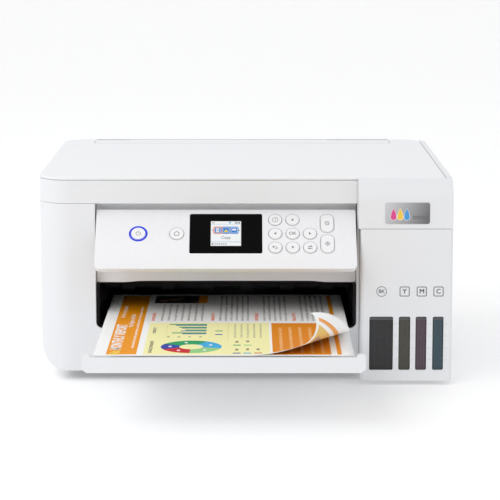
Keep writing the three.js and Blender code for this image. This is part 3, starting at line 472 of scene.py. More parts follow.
class Drawing:  # closed shapes in millimetres, each with its colour
    def __init__(self):
        self.shapes = []
        self.tint = (0.1, 0.1, 0.1)
        self.rise = 0.0  # lifts what is drawn next above what is under it

    def ink(self, *tint):
        self.tint = srgb(*tint)
        return self

    def poly(self, points):
        self.shapes.append(([tuple(p) for p in points], self.tint, self.rise))

    def rect(self, x0, x1, y0, y1):
        self.poly([(x0, y0), (x1, y0), (x1, y1), (x0, y1)])

    def disc(self, x, y, radius, sides=28):
        self.poly([
            (x + radius * math.cos(math.tau * i / sides), y + radius * math.sin(math.tau * i / sides))
            for i in range(sides)
        ])

    def stroke(self, points, width, closed=False):  # one line with mitred corners
        count = len(points)
        left, right = [], []
        for i, (x, y) in enumerate(points):
            before = points[(i - 1) % count] if closed or i else None
            after = points[(i + 1) % count] if closed or i < count - 1 else None
            into = (Vector((x, y)) - Vector(before)).normalized() if before else None
            away = (Vector(after) - Vector((x, y))).normalized() if after else into
            into = into or away
            side = Vector((-(into + away).y, (into + away).x)).normalized()
            reach = width / 2 / max(0.35, side.dot(Vector((-into.y, into.x))))
            left.append((x + side.x * reach, y + side.y * reach))
            right.append((x - side.x * reach, y - side.y * reach))
        for i in range(count if closed else count - 1):
            j = (i + 1) % count
            self.poly([right[i], right[j], left[j], left[i]])

    def ring(self, x, y, radius, width, start=0, end=360, steps=40):
        whole = end - start >= 360
        span = [math.radians(start + (end - start) * i / steps) for i in range(steps + (not whole))]
        self.stroke([(x + radius * math.cos(a), y + radius * math.sin(a)) for a in span], width, whole)

    def frame(self, x, y, wide, high, radius, width):  # an outline with round corners
        path = []
        across, up = wide / 2 - radius, high / 2 - radius
        for side, end, start in ((1, -1, -90), (1, 1, 0), (-1, 1, 90), (-1, -1, 180)):
            cx, cy = x + side * across, y + end * up
            for i in range(6):
                turn = math.radians(start + 90 * i / 5)
                path.append((cx + radius * math.cos(turn), cy + radius * math.sin(turn)))
        if width:
            self.stroke(path, width, True)
        else:
            self.poly(path)

    def text(self, words, x, y, size, weight=0.0):
        curve = bpy.data.curves.new("lettering", "FONT")
        curve.body = words
        curve.size = size
        curve.offset = weight
        curve.resolution_u = 3
        curve.align_x = "CENTER"
        curve.align_y = "CENTER"
        holder = bpy.data.objects.new("lettering", curve)
        scene.collection.objects.link(holder)
        flat = bpy.data.meshes.new_from_object(holder.evaluated_get(bpy.context.evaluated_depsgraph_get()))
        for face in flat.polygons:
            self.poly([(x + flat.vertices[v].co.x, y + flat.vertices[v].co.y) for v in face.vertices])
        bpy.data.objects.remove(holder)
        bpy.data.meshes.remove(flat)


def layOn(name, drawing, place, look, body, low, high):  # from low to high over the surface
    shape = bmesh.new()
    tints = shape.loops.layers.float_color.new("tint")
    spots = {}

    def corner(x, y, rise):
        key = (round(x, 4), round(y, 4), rise)
        if key not in spots:
            spots[key] = shape.verts.new((x, y, high + rise))
        return spots[key]

    for points, tint, rise in drawing.shapes:
        area = sum(a[0] * b[1] - b[0] * a[1] for a, b in zip(points, points[1:] + points[:1]))
        points = points if area > 0 else points[::-1]
        corners = [corner(*p, rise) for p in points]
        if len(set(corners)) < 3 or shape.faces.get(corners):
            continue
        face = shape.faces.new(corners)
        for loop in face.loops:
            loop[tints] = (*tint, 1)
    tops = list(shape.faces)
    walls = bmesh.ops.extrude_face_region(shape, geom=tops)
    for vert in walls["geom"]:
        if isinstance(vert, bmesh.types.BMVert):
            vert.co.z = low
    bmesh.ops.recalc_face_normals(shape, faces=shape.faces)
    for vert in shape.verts:
        vert.co = place(*vert.co)
    bmesh.ops.recalc_face_normals(shape, faces=shape.faces)
    mesh = bpy.data.meshes.new(name)
    shape.to_mesh(mesh)
    shape.free()
    mesh.materials.append(looks[look].material)
    piece = bpy.data.objects.new(name, mesh)
    scene.collection.objects.link(piece)
    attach(piece, body)
    return piece


def printedInk():
    look = Look("printedInk", (0.1, 0.1, 0.1), 0.5)
    tint = look.node("ShaderNodeVertexColor", {"layer_name": "tint"}, {})
    speck = look.noise(2200, 2)
    look.feed("Base Color", look.mix(speck * 0.2, tint, (0.5, 0.5, 0.5)))
    look.feed("Roughness", speck * 0.15 + 0.42)
    look.feed("Normal", look.bump(speck, 0.1, 0.00003))
    return look


def litScreen():
    look = Look(
        "litScreen", (0.02, 0.02, 0.02), 0.3,
        Coat_Weight=0.2, Emission_Strength=0.95, Specular_IOR_Level=0.1,
    )
    tint = look.node("ShaderNodeVertexColor", {"layer_name": "tint"}, {})
    x, y, z = look.axes()
    dots = (x * 18).math("SINE") * 0.03 + 0.97
    grain = look.noise(3000, 1) * 0.06
    look.feed("Emission Color", look.mix(1 - dots + grain, tint, (0.05, 0.05, 0.08)))
    look.feed("Roughness", grain + 0.17)
    return look


def ringLight():
    look = Look("ringLight", srgb(2, 6, 30), 0.4, Emission_Strength=1.0, Specular_IOR_Level=0.1)
    glow = look.noise(160, 2)
    look.feed("Emission Color", look.mix(glow * 0.5, srgb(0, 40, 222), srgb(0, 66, 236)))
    look.feed("Roughness", glow * 0.1 + 0.25)
    return look


looks["printedInk"] = printedInk()
looks["litScreen"] = litScreen()
looks["ringLight"] = ringLight()

# control panel: icons, ring light and display

panel = {
    "top": 155, "pivotY": 5, "pivotZ": 150, "tilt": -44.5, "keyProud": 0.62,
    "power": (-95.6, 27.0), "home": (-61.0, 27.0),
    "columns": (27.7, 43.3, 58.9), "rows": (11.7, 27.0, 42.3),
    "pillX": 74.5, "pills": (15.65, 38.35), "screen": (-16.7, 26.7), "display": 27.2,
    "line": 0.46, "icon": (70, 72, 76), "outline": (176, 177, 181),
    "keyRadius": 5.7, "ring": 7.8, "ringWidth": 1.1, "keyRing": 6.62, "keyRingWidth": 0.5, "ringSides": 56,
    "outlineGap": 0.72, "outlineWidth": 0.42, "pillGapShade": (12.9, 20.5, 5.2),
}
panelTurn = Matrix.Rotation(math.radians(panel["tilt"]), 3, "X")


def onPanel(x, drop, lift):  # drop is negative down the face, from its top edge
    point = panelTurn @ Vector((0, -lift - panel["pivotY"], panel["top"] + drop - panel["pivotZ"]))
    return at(x, point.y + panel["pivotY"], point.z + panel["pivotZ"])


def iconFor(art, key, x, y):
    art.ink(*panel["icon"])
    line = panel["line"]
    if key == "power":
        art.ring(x, y, 2.0, line, -240, 60, 22)
        art.stroke([(x, y + 0.5), (x, y + 2.7)], line)
    elif key == "home":
        art.stroke([(x - 2.6, y), (x, y + 2.4), (x + 2.6, y)], line)
        art.stroke([(x - 1.8, y - 0.1), (x - 1.8, y - 2.2), (x + 1.8, y - 2.2), (x + 1.8, y - 0.1)], line)
    elif key == "help":
        art.ring(x, y, 2.5, line * 0.8)
        art.text("?", x, y, 3.6, 0.02)
    elif key == "ok":
        art.text("OK", x, y, 4.6, 0.03)
    elif key in ("up", "down", "left", "right"):
        turn = {"up": 90, "left": 180, "down": 270, "right": 0}[key]
        tip = [Vector((1.3, 0)), Vector((-0.9, 1.3)), Vector((-0.9, -1.3))]
        art.poly([(x + p.x, y + p.y) for p in (Matrix.Rotation(math.radians(turn), 2) @ q for q in tip)])
    elif key == "back":
        hook = ((-2.4, 0.5), (0.9, 0.5), (1.7, -0.5), (0.9, -1.5), (-0.4, -1.5))
        art.stroke([(x + a, y + b) for a, b in hook], line)
        art.stroke([(x - 1.2, y + 1.7), (x - 2.4, y + 0.5), (x - 1.2, y - 0.7)], line)
    elif key == "settings":
        for side in (1, -1):
            art.stroke([(x - 2, y + side * 1.1), (x + 2, y + side * 1.1)], line * 1.3)
            art.disc(x + side * 0.8, y + side * 1.1, 0.75, 12)
    elif key == "stop":
        art.ring(x, y, 1.9, line)
        art.stroke([(x - 1.3, y + 1.3), (x + 1.3, y - 1.3)], line)
    elif key == "start":
        art.stroke([(x, y + 2.2), (x + 2.2, y), (x, y - 2.2), (x - 2.2, y)], line, True)
        art.stroke([(x - 0.6, y + 0.9), (x + 0.6, y), (x - 0.6, y - 0.9)], line)


gridKeys = {  # column and row of each round key
    "help": (0, 0), "up": (1, 0), "left": (0, 1), "ok": (1, 1),
    "right": (2, 1), "back": (0, 2), "down": (1, 2), "settings": (2, 2),
}
keySpots = {
    "power": (*panel["power"], 6.9), "home": (*panel["home"], 6.1),
    **{key: (panel["columns"][i], panel["rows"][j], panel["keyRadius"]) for key, (i, j) in gridKeys.items()},
    "stop": (panel["pillX"], panel["pills"][0], 0), "start": (panel["pillX"], panel["pills"][1], 0),
}
for key, (x, drop, radius) in keySpots.items():
    art = Drawing()
    iconFor(art, key, x, -drop)
    low, high = panel["keyProud"] - 0.04, panel["keyProud"] + 0.02
    layOn(key + "_icon", art, onPanel, "printedInk", key + "_button", low, high)

# painted shade: pale grey rings and rounded frames round the keys, where the gap round each key falls into
# shade
outlines = Drawing().ink(*panel["outline"])
for key, (x, drop, radius) in keySpots.items():
    if key == "power":
        continue
    if radius:
        outlines.ring(x, -drop, radius + panel["outlineGap"], panel["outlineWidth"])
    else:
        outlines.frame(x, -drop, *panel["pillGapShade"], panel["outlineWidth"])
layOn("key_outlines", outlines, onPanel, "printedInk", "control_panel", -0.03, 0.03)

powerX, powerY = panel["power"][0], -panel["power"][1]
glow = Drawing()
glow.ring(powerX, powerY, panel["ring"], panel["ringWidth"], steps=panel["ringSides"])
layOn("power_ring", glow, onPanel, "ringLight", "control_panel", -0.1, 0.25)
keyGlow = Drawing()
keyGlow.ring(powerX, powerY, panel["keyRing"], panel["keyRingWidth"], steps=panel["ringSides"])
layOn("power_key_ring", keyGlow, onPanel, "ringLight", "power_button", 0.3, 0.66)


def displayArt():
    cx, cy = panel["screen"][0], -panel["screen"][1]
    half = panel["display"] / 2
    ground = Drawing().ink(250, 251, 252)
    ground.rect(cx - half, cx + half, cy - half, cy + half)
    over = Drawing().ink(170, 200, 235)
    over.rect(cx - half, cx + half, cy + half - 3.5, cy + half - 3.1)
    over.rect(cx - half, cx + half, cy - half + 4.0, cy - half + 4.6)
    over.ink(120, 126, 134)
    for i in range(4):
        over.rect(cx + half - 5.6 + i * 1.3, cx + half - 4.8 + i * 1.3, cy + half - 2.7, cy + half - 0.7)
    over.stroke([(cx - half + 1, cy + half - 1.7), (cx - half + 3.2, cy + half - 1.7)], 0.8)
    over.disc(cx - half + 1.7, cy - half + 2, 0.9, 14)
    for i in range(6):
        over.rect(cx - half + 3.4 + i * 1.9, cx - half + 4.8 + i * 1.9, cy - half + 1.5, cy - half + 2.5)
    over.ink(60, 190, 225)
    over.poly([(cx + 2.2, cy + half - 0.6), (cx + 5, cy + half - 0.6), (cx + 3.6, cy + half - 2.9)])
    for i, edge in enumerate(((232, 120, 50), (45, 125, 205), (60, 140, 215))):
        x = cx - 7.4 + i * 7.4
        over.ink(*edge)
        over.frame(x, cy + 3.6, 7.0, 7.2, 1.0, 0.9)
        over.ink(52, 130, 212)
        over.rect(x - 2.7, x + 2.7, cy + 0.8, cy + 6.4)
    over.ink(20, 20, 24)
    over.poly([(cx - 12.6, cy + 3.6), (cx - 11.6, cy + 4.4), (cx - 11.6, cy + 2.8)])
    over.poly([(cx + 12.6, cy + 3.6), (cx + 11.6, cy + 2.8), (cx + 11.6, cy + 4.4)])
    over.ink(60, 64, 72)
    over.text("Copy", cx, cy - 4.6, 3.9, 0.02)
    top = Drawing().ink(245, 248, 252)
    top.rect(cx - 8.9, cx - 6.1, cy + 1.5, cy + 5.7)
    top.rect(cx + 5.6, cx + 9.2, cy + 3.4, cy + 5.2)
    top.ink(30, 90, 170)
    top.rect(cx - 8.3, cx - 6.7, cy + 2.6, cy + 4.4)
    top.ink(250, 214, 40)
    top.poly([(cx - 2.1, cy + 1.7), (cx + 2.1, cy + 1.7), (cx + 0.2, cy + 4.6)])
    top.ink(70, 175, 90)
    top.poly([(cx - 2.4, cy + 1.5), (cx + 2.4, cy + 1.5), (cx + 2.4, cy + 2.1), (cx - 2.4, cy + 2.1)])
    return {"ground": ground, "marks": over, "signs": top}


displayLayer = {"step": 0.03, "thick": 0.035}  # each drawing stands a little above the last
for level, (name, art) in enumerate(displayArt().items()):
    low = level * displayLayer["step"]
    high = low + displayLayer["thick"]
    layOn("display_" + name, art, onPanel, "litScreen", "control_panel", low, high)

print("printer: control panel drawn")

# tank front: letter marks, level ticks and metal badge

tankFront = {
    "face": -21, "legendZ": 86.3, "ink": (66, 68, 72),
    "blackX": 123.5, "blackRing": 4.45, "blackLetters": 4.7,
    "letterX": {"Y": 144.2, "M": 159.6, "C": 174.7}, "tall": 8.3, "letter": 6.0,
    "tickInk": (190, 193, 197), "tickX": (136.6, 152.0, 167.1, 182.0), "tickZ": (23.5, 34.5, 45.5, 56.5),
    "windowZ": 38.7, "windowHigh": 50.3,
}


def onTank(x, z, lift):
    return at(x, tankFront["face"] - lift, z)


legend = Drawing().ink(*tankFront["ink"])
legendZ = tankFront["legendZ"]
legend.ring(tankFront["blackX"], legendZ, tankFront["blackRing"], 0.55)
legend.text("BK", tankFront["blackX"], legendZ, tankFront["blackLetters"], 0.1)
for letter, x in tankFront["letterX"].items():
    legend.frame(x, legendZ, tankFront["tall"], tankFront["tall"], 0.9, 0.75)
    if letter == "M":  # drawn twice, a little apart, in place of an offset
        for shift in (0, 0.3):
            legend.text(letter, x + shift, legendZ, tankFront["letter"], 0.0)
    else:
        legend.text(letter, x, legendZ, tankFront["letter"], 0.14)
layOn("ink_letters", legend, onTank, "printedInk", "base", -0.03, 0.04)

ticks = Drawing().ink(*tankFront["tickInk"])
for x in tankFront["tickX"]:
    for z in tankFront["tickZ"]:
        ticks.rect(x - 1.1, x + 1.1, z - 0.18, z + 0.18)
# raised rims around the windows, in the brighter lid white as a painted highlight on their rounded edges
rimHighlights = Drawing()
for (left, width), tone in tankDetail.values():
    rimHighlights.frame(left + width / 2, tankFront["windowZ"], width + 0.9, tankFront["windowHigh"], 2.0, 0.9)
layOn("window_rim_highlights", rimHighlights, onTank, "lidWhite", "base", -0.1, 0.5)
layOn("level_ticks", ticks, onTank, "printedInk", "base", -0.03, 0.04)


def metalBadge():
    look = Look("metalBadge", srgb(150, 150, 152), 0.36, Metallic=0.55)
    x, y, z = look.axes()
    # painted sheen: the metal is lighter towards the upper left, where the key light comes from, and darker
    # towards the lower right
    sheenSlope = (x - 126) / 40 - (z - 157) / 90
    drawn = look.node("ShaderNodeMapping", {}, {"Vector": look.here(), "Scale": (90, 1, 1400)})
    grain = look.noise(5, 3, drawn)
    paintedSheen = look.mix(sheenSlope.peak(0).low(1), srgb(212, 212, 214), srgb(112, 112, 115))
    look.feed("Base Color", look.mix(grain * 0.25, paintedSheen, srgb(120, 120, 122)))
    look.feed("Roughness", grain * 0.2 + 0.28)
    look.feed("Normal", look.bump(grain, 0.1, 0.00004))
    return look


looks["metalBadge"] = metalBadge()
badge = {
    "x": 146.05, "z": 157.4, "wide": 40.1, "high": 19.2, "radius": 1.9, "thick": 0.35,
    "dropX": -12.6, "dropZ": -3.4, "dropPitch": 6.0, "dropRims": 3.0, "drop": 2.6,
    "rimTint": (246, 246, 247),
    "tints": ((226, 20, 135), (250, 205, 25), (20, 150, 220)), "rise": 0.04,
    "ringX": 6.2, "ringZ": -3.6, "ringPitch": 3.3, "ringTint": (82, 80, 82), "rings": 4,
}
plate = Drawing()
plate.frame(badge["x"], badge["z"], badge["wide"], badge["high"], badge["radius"], 0)
layOn("badge_plate", plate, onTank, "metalBadge", "tank_cover", -0.3, badge["thick"])

# plain drops of ink, one of each colour with a pale rim, and a row of small rings beside them
drops = Drawing()
sweep = [math.radians(152 + 236 * k / 20) for k in range(21)]
for i, tint in enumerate(badge["tints"]):
    x = badge["x"] + badge["dropX"] + i * badge["dropPitch"]
    z = badge["z"] + badge["dropZ"]
    layers = ((badge["dropRims"], badge["rimTint"], 0.0), (badge["drop"], tint, badge["rise"]))
    for size, shade, rise in layers:
        drops.ink(*shade)
        drops.rise = rise
        drops.poly([(x + size * math.cos(a), z + size * math.sin(a)) for a in sweep]
                   + [(x + size * 0.72, z + 3.8), (x, z + 5.2 + size), (x - size * 0.72, z + 3.8)])
drops.ink(*badge["ringTint"])
drops.rise = 0.0
for i in range(badge["rings"]):
    x = badge["x"] + badge["ringX"] + i * badge["ringPitch"]
    drops.ring(x, badge["z"] + badge["ringZ"], 1.2, 0.62, steps=20)
low, high = badge["thick"] - 0.02, badge["thick"] + 0.08
layOn("badge_drops", drops, onTank, "printedInk", "tank_cover", low, high)

print("printer: tank front marked")

# printed sheets on the tray

page = {
    "left": -124.8, "front": -189.5, "wide": 215.9, "long": 279.4, "top": 63.4, "thick": 0.12,
    "foldStart": (1.0, -189.0), "foldEnd": (90.4, -55.0),
    "easyRadius": 95.0, "easyRun": 40.0, "tightRadius": 12.0,
    "underGap": 0.05, "sheetPitch": 0.3,
}
inks = {  # the colours of the printed page
    "orange": (240, 152, 0), "deepOrange": (226, 134, 0), "grey": (120, 120, 124),
    "yellow": (247, 242, 178),
    "green": (22, 158, 96), "barGreen": (26, 160, 98), "leaf": (150, 206, 136), "sky": (62, 172, 226),
    "blue": (38, 62, 164), "barBlue": (40, 66, 166), "red": (206, 22, 40), "heading": (236, 96, 30),
    "photo": (44, 36, 40), "photoLight": (150, 120, 92), "white": (250, 250, 250), "label": (66, 66, 60),
}
chart = {"u": 80.3, "v": 35.0, "radius": 17.8, "half": 7.8}  # the ring chart on the page


def pagePrint(name, back=False):
    look = Look(name, srgb(246, 246, 244), 0.62, Specular_IOR_Level=0.22)
    split = look.node("ShaderNodeSeparateXYZ", {}, [look.node("ShaderNodeUVMap", {"uv_map": "page"}, {})])
    u = split * page["wide"]
    v = Value(look, split.socket.node.outputs[1]) * page["long"]
    fibre = look.noise(700, 4)
    colour = look.mix(fibre * 0.06, srgb(249, 249, 248), srgb(214, 214, 208))

    def box(u0, u1, v0, v1):
        return u.near((u0 + u1) / 2, (u1 - u0) / 2) * v.near((v0 + v1) / 2, (v1 - v0) / 2)

    def lay(mask, tint, share=1.0):
        nonlocal colour
        colour = look.mix(mask * share if share != 1 else mask, colour, srgb(*tint))

    def streaks(u0, step, count, v0, v1, tint, thick=1.5, grade=0.75, seed=0.0):  # lines of small words
        run = u - (u0 - step / 2)
        line = run.math("MODULO", step).near(step / 2, thick / 2)
        spot = look.node("ShaderNodeCombineXYZ", {}, [
            (run / step).math("FLOOR") * 7.31 + seed, v * 0.42, 0.0,
        ])
        letters = look.node("ShaderNodeCombineXYZ", {}, [run * 0.9, v * 1.5, seed])
        words = (look.noise(1.0, 1, spot) > 0.36) * (look.noise(1.0, 1, letters) > 0.46)
        lay(box(u0 - step / 2, u0 + step * (count - 0.5), v0, v1) * line * words, tint, grade)

    if back:
        lay(box(146, 198, 3, 137.6), (236, 196, 84))
        streaks(158, 14, 3, 8, 130, (86, 60, 140), 7, 0.9, 3.3)
        lay(box(202.0, 205.9, 4, 271), inks["orange"])
        look.feed("Base Color", look.mix(0.12, colour, srgb(*inks["white"])))
    else:
        lay(box(10.5, 35.5, 4.2, 271.5), inks["orange"])
        streaks(31.0, 6, 1, 30, 215, (252, 250, 246), 2.0, 0.8, 8.8)
        lay(box(41, 146.5, 2.8, 139.3), inks["yellow"])
        across = u - chart["u"]
        along = v - chart["v"]
        reach = (across * across + along * along).math("SQRT")
        turn = along.math("ARCTAN2", across) * (180 / math.pi)
        hoop = reach.near(chart["radius"], chart["half"])
        for start, end, tint in ((60, 152, "green"), (-12, 60, "sky"), (-92, -12, "leaf")):
            lay(hoop * turn.near((start + end) / 2, (end - start) / 2), inks[tint])
        lay(hoop * (turn > 152), inks["blue"])
        lay(hoop * (turn < -158), inks["blue"])
        lay(hoop * turn.near(-125, 33), inks["red"])
        for angle in (105, 24, -50, -125, 175):
            cu = chart["u"] + chart["radius"] * math.cos(math.radians(angle))
            cv = chart["v"] + chart["radius"] * math.sin(math.radians(angle))
            lay(box(cu - 1.3, cu + 1.3, cv - 2.4, cv + 2.4), inks["white"], 0.85)
        for row, (green, blue) in enumerate(((59.0, 64.5), (67.5, 70.0), (73.4, 69.5), (62.0, 71.0))):
            middle = 130.6 - row * 12.6
            lay(box(green, 91.8, middle - 1.0, middle + 3.0), inks["barGreen"])
            lay(box(blue, 91.8, middle - 4.6, middle - 1.4), inks["barBlue"])
        for u0, v0, tint in (
            (99.5, 100.5, "barGreen"), (99.5, 85, "barBlue"), (115.4, 39.8, "barGreen"),
            (124.6, 39.8, "leaf"), (115.4, 7.4, "barBlue"), (124.2, 7.4, "sky"), (133.2, 7.4, "red"),
        ):
            lay(box(u0, u0 + 6.4, v0, v0 + 3.6), inks[tint])
        for u0, v0 in ((118.4, 52), (127.6, 54), (118.4, 20), (127.4, 21), (136.2, 21)):
            lay(box(u0 - 1.1, u0 + 1.5, v0, v0 + 7), (70, 72, 70), 0.75)
        lay(box(57, 57.3, 84, 134), (190, 186, 140), 0.6)
        lay(box(110.5, 110.9, 62, 136), (200, 196, 150), 0.7)
        streaks(46.5, 5, 1, 10, 60, inks["label"], 3.0, 0.85, 2.1)
        streaks(46.5, 5, 1, 92, 118, inks["label"], 2.8, 0.85, 4.4)
        streaks(59.5, 9.2, 4, 74, 80, (80, 80, 74), 2.4, 0.7, 9.0)
        streaks(116.8, 5.55, 5, 72, 134, inks["grey"], 1.6, 0.6, 1.2)
        for head, first, step, count, top in (
            (43.2, 51.0, 5.95, 7, 228), (96.4, 103.2, 4.96, 6, 272),
            (135.6, 142.7, 4.85, 5, 272), (169.4, 176.7, 4.85, 5, 272),
        ):
            streaks(head, 5, 1, 148, 186, inks["heading"], 3.0, 1.0, head)
            streaks(first, step, count, 148, top, inks["grey"], 1.9, 0.8, first)
        lay(box(41, 82, 234, 271.5), inks["photo"])
        lay(box(41, 82, 240, 262) * (look.noise(90, 3) > 0.55), inks["photoLight"], 0.8)
        lay(box(82, 90, 234, 271.5), inks["orange"])
        lay(box(148.5, 197.1, 4.1, 137.6), inks["deepOrange"])
        streaks(156, 8.6, 5, 10, 118, (246, 206, 150), 2.6, 0.75, 7.7)
        lay(box(202.0, 205.7, 4.1, 271.5), inks["orange"])
        look.feed("Base Color", colour)
    look.feed("Roughness", fibre * 0.14 + 0.52)
    look.feed("Normal", look.bump(fibre, 0.12, 0.00004))
    return look


looks["pageFront"] = pagePrint("pageFront")
looks["pageBack"] = pagePrint("pageBack", True)


def paperSheet(name, top, curled):
    foldStart = Vector(page["foldStart"])
    along = (Vector(page["foldEnd"]) - foldStart).normalized()
    across = Vector((along.y, -along.x))
    easy = page["easyRun"] / page["easyRadius"]

    def lifted(x, y, offset):  # where a point of the flat sheet ends up
        run = (Vector((x, y)) - foldStart).dot(across)
        if not curled or run <= 0:
            return at(x, y, top + offset)
        first = min(run, page["easyRun"]) / page["easyRadius"]
        reach = page["easyRadius"] * math.sin(first)
        rise = page["easyRadius"] * (1 - math.cos(first))
        turn = first
        if run > page["easyRun"]:
            turn = easy + (run - page["easyRun"]) / page["tightRadius"]
            reach += page["tightRadius"] * (math.sin(turn) - math.sin(easy))
            rise += page["tightRadius"] * (math.cos(easy) - math.cos(turn))
        spot = Vector((x, y)) - across * run + across * (reach - offset * math.sin(turn))
        return at(spot.x, spot.y, top + rise + offset * math.cos(turn))

    columns, lines = (72, 94) if curled else (24, 28)
    shape = bmesh.new()
    uvs = shape.loops.layers.uv.new("page")
    sides = {}
    for offset in (0.0, page["thick"]):
        sides[offset] = [[
            shape.verts.new(lifted(
                page["left"] + page["wide"] * i / columns, page["front"] + page["long"] * j / lines, offset,
            ))
            for i in range(columns + 1)] for j in range(lines + 1)]

    def skin(corners, spots, slot):
        face = shape.faces.new(corners)
        face.smooth = True
        face.material_index = slot
        for loop, (i, j) in zip(face.loops, spots):
            loop[uvs].uv = (i / columns, j / lines)

    low, high = sides[0.0], sides[page["thick"]]
    for j in range(lines):
        for i in range(columns):
            spots = [(i, j), (i + 1, j), (i + 1, j + 1), (i, j + 1)]
            skin([high[b][a] for a, b in spots], spots, 0)
            skin([low[b][a] for a, b in spots[::-1]], spots[::-1], 1)
    rim = [(i, 0) for i in range(columns)] + [(columns, j) for j in range(lines)]
    rim += [(i, lines) for i in range(columns, 0, -1)] + [(0, j) for j in range(lines, 0, -1)]
    for k, (i, j) in enumerate(rim):
        a, b = rim[(k + 1) % len(rim)]
        face = shape.faces.new([low[j][i], low[b][a], high[b][a], high[j][i]])
        face.material_index = 2
    mesh = bpy.data.meshes.new(name)
    shape.to_mesh(mesh)
    shape.free()
    for look in ("pageFront", "pageBack", "paper"):
        mesh.materials.append(looks[look].material)
    sheet = bpy.data.objects.new(name, mesh)
    scene.collection.objects.link(sheet)
    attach(sheet, "printed_sheets")
    return sheet


# plain headings, read from the side of the sheet
def onSheet(x, y, lift):
    return at(page["left"] - y, page["front"] + x, page["top"] + lift)


headings = Drawing().ink(252, 222, 34)
headings.text("No 1", 15.5, -17.6, 12.5, 0.35)
headings.ink(253, 252, 250)
headings.text("MONTHLY REPORT", 77, -17.6, 12.5, 0.4)
headings.text("facts, figures and plans", 150, -24.5, 6.6, 0.05)
headings.text("for the coming season", 192, -15.5, 6.2, 0.05)
layOn("sheet_headings", headings, onSheet, "printedInk", "printed_sheets", -0.01, 0.025)

under = page["top"] - 2 * page["thick"] - page["underGap"]
top = paperSheet("top_sheet", page["top"] - page["thick"], True)
paperSheet("second_sheet", under, False)
paperSheet("third_sheet", under - page["sheetPitch"], False)
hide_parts("printed_sheets")

print("printer: sheets laid")

# repeated pieces, made by node trees

class Tree:  # a geometry node tree with named inputs
    def __init__(self, name):
        self.group = bpy.data.node_groups.new(name, "GeometryNodeTree")
        self.group.is_modifier = True
        self.names = {}
        self.entry = self.group.nodes.new("NodeGroupInput")
        self.exit = self.group.nodes.new("NodeGroupOutput")
        self.group.interface.new_socket("Geometry", in_out="OUTPUT", socket_type="NodeSocketGeometry")

    def input(self, name, kind, start=None):
        socket = self.group.interface.new_socket(name, in_out="INPUT", socket_type="NodeSocket" + kind)
        if start is not None:
            socket.default_value = start
        self.names[name] = socket.identifier
        return next(o for o in self.entry.outputs if o.identifier == socket.identifier)

    def node(self, kind, settings=None, sockets=None):
        made = self.group.nodes.new(kind)
        for key, setting in (settings or {}).items():
            setattr(made, key, setting)
        for key, given in (sockets or {}).items():
            if isinstance(given, bpy.types.NodeSocket):
                self.group.links.new(given, made.inputs[key])
            else:
                made.inputs[key].default_value = given
        return made.outputs

    def repeat(self, points, shape, turn):
        sockets = {"Points": points, "Instance": shape, "Rotation": turn}
        return self.node("GeometryNodeInstanceOnPoints", {}, sockets)[0]

    def finish(self, shape, material):
        real = self.node("GeometryNodeRealizeInstances", {}, {0: shape})
        done = self.node("GeometryNodeSetMaterial", {}, {"Geometry": real[0], "Material": material})
        self.group.links.new(done[0], self.exit.inputs[0])


def rowTree():  # boxes along a line
    tree = Tree("rowOfBlocks")
    count = tree.input("Count", "Int", 5)
    start = tree.input("Start", "Vector")
    step = tree.input("Step", "Vector")
    size = tree.input("Size", "Vector")
    turn = tree.input("Turn", "Vector")
    material = tree.input("Material", "Material")
    places = {"Count": count, "Start Location": start, "Offset": step}
    line = tree.node("GeometryNodeMeshLine", {"mode": "OFFSET"}, places)
    block = tree.node("GeometryNodeMeshCube", {}, {"Size": size})
    tree.finish(tree.repeat(line[0], block[0], turn), material)
    return tree


def screwTree():  # cross-head screws standing on the points of a mesh
    tree = Tree("crossHeadScrews")
    source = tree.group.interface.new_socket("Points", in_out="INPUT", socket_type="NodeSocketGeometry")
    points = next(o for o in tree.entry.outputs if o.identifier == source.identifier)
    radius = tree.input("Radius", "Float", 0.003)
    depth = tree.input("Depth", "Float", 0.0012)
    slot = tree.input("Slot", "Vector")
    cross = tree.input("Cross", "Vector")
    turn = tree.input("Turn", "Vector")
    material = tree.input("Material", "Material")
    head = tree.node("GeometryNodeMeshCylinder", {}, {"Vertices": 28, "Radius": radius, "Depth": depth})
    bars = [tree.node("GeometryNodeMeshCube", {}, {"Size": size})[0] for size in (slot, cross)]
    both = tree.node("GeometryNodeMeshBoolean", {"operation": "UNION"}, {})
    for bar in bars:
        tree.group.links.new(bar, both[0].node.inputs["Mesh 2"])
    lifted = tree.node("GeometryNodeTransform", {}, {"Geometry": both[0]})
    half = tree.node("ShaderNodeMath", {"operation": "MULTIPLY"}, {0: depth, 1: 0.5})
    rise = tree.node("ShaderNodeCombineXYZ", {}, {"Z": half[0]})
    tree.group.links.new(rise[0], lifted[0].node.inputs["Translation"])
    carved = tree.node("GeometryNodeMeshBoolean", {"operation": "DIFFERENCE"}, {"Mesh 1": head[0]})
    tree.group.links.new(lifted[0], carved[0].node.inputs["Mesh 2"])
    tree.finish(tree.repeat(points, carved[0], turn), material)
    return tree


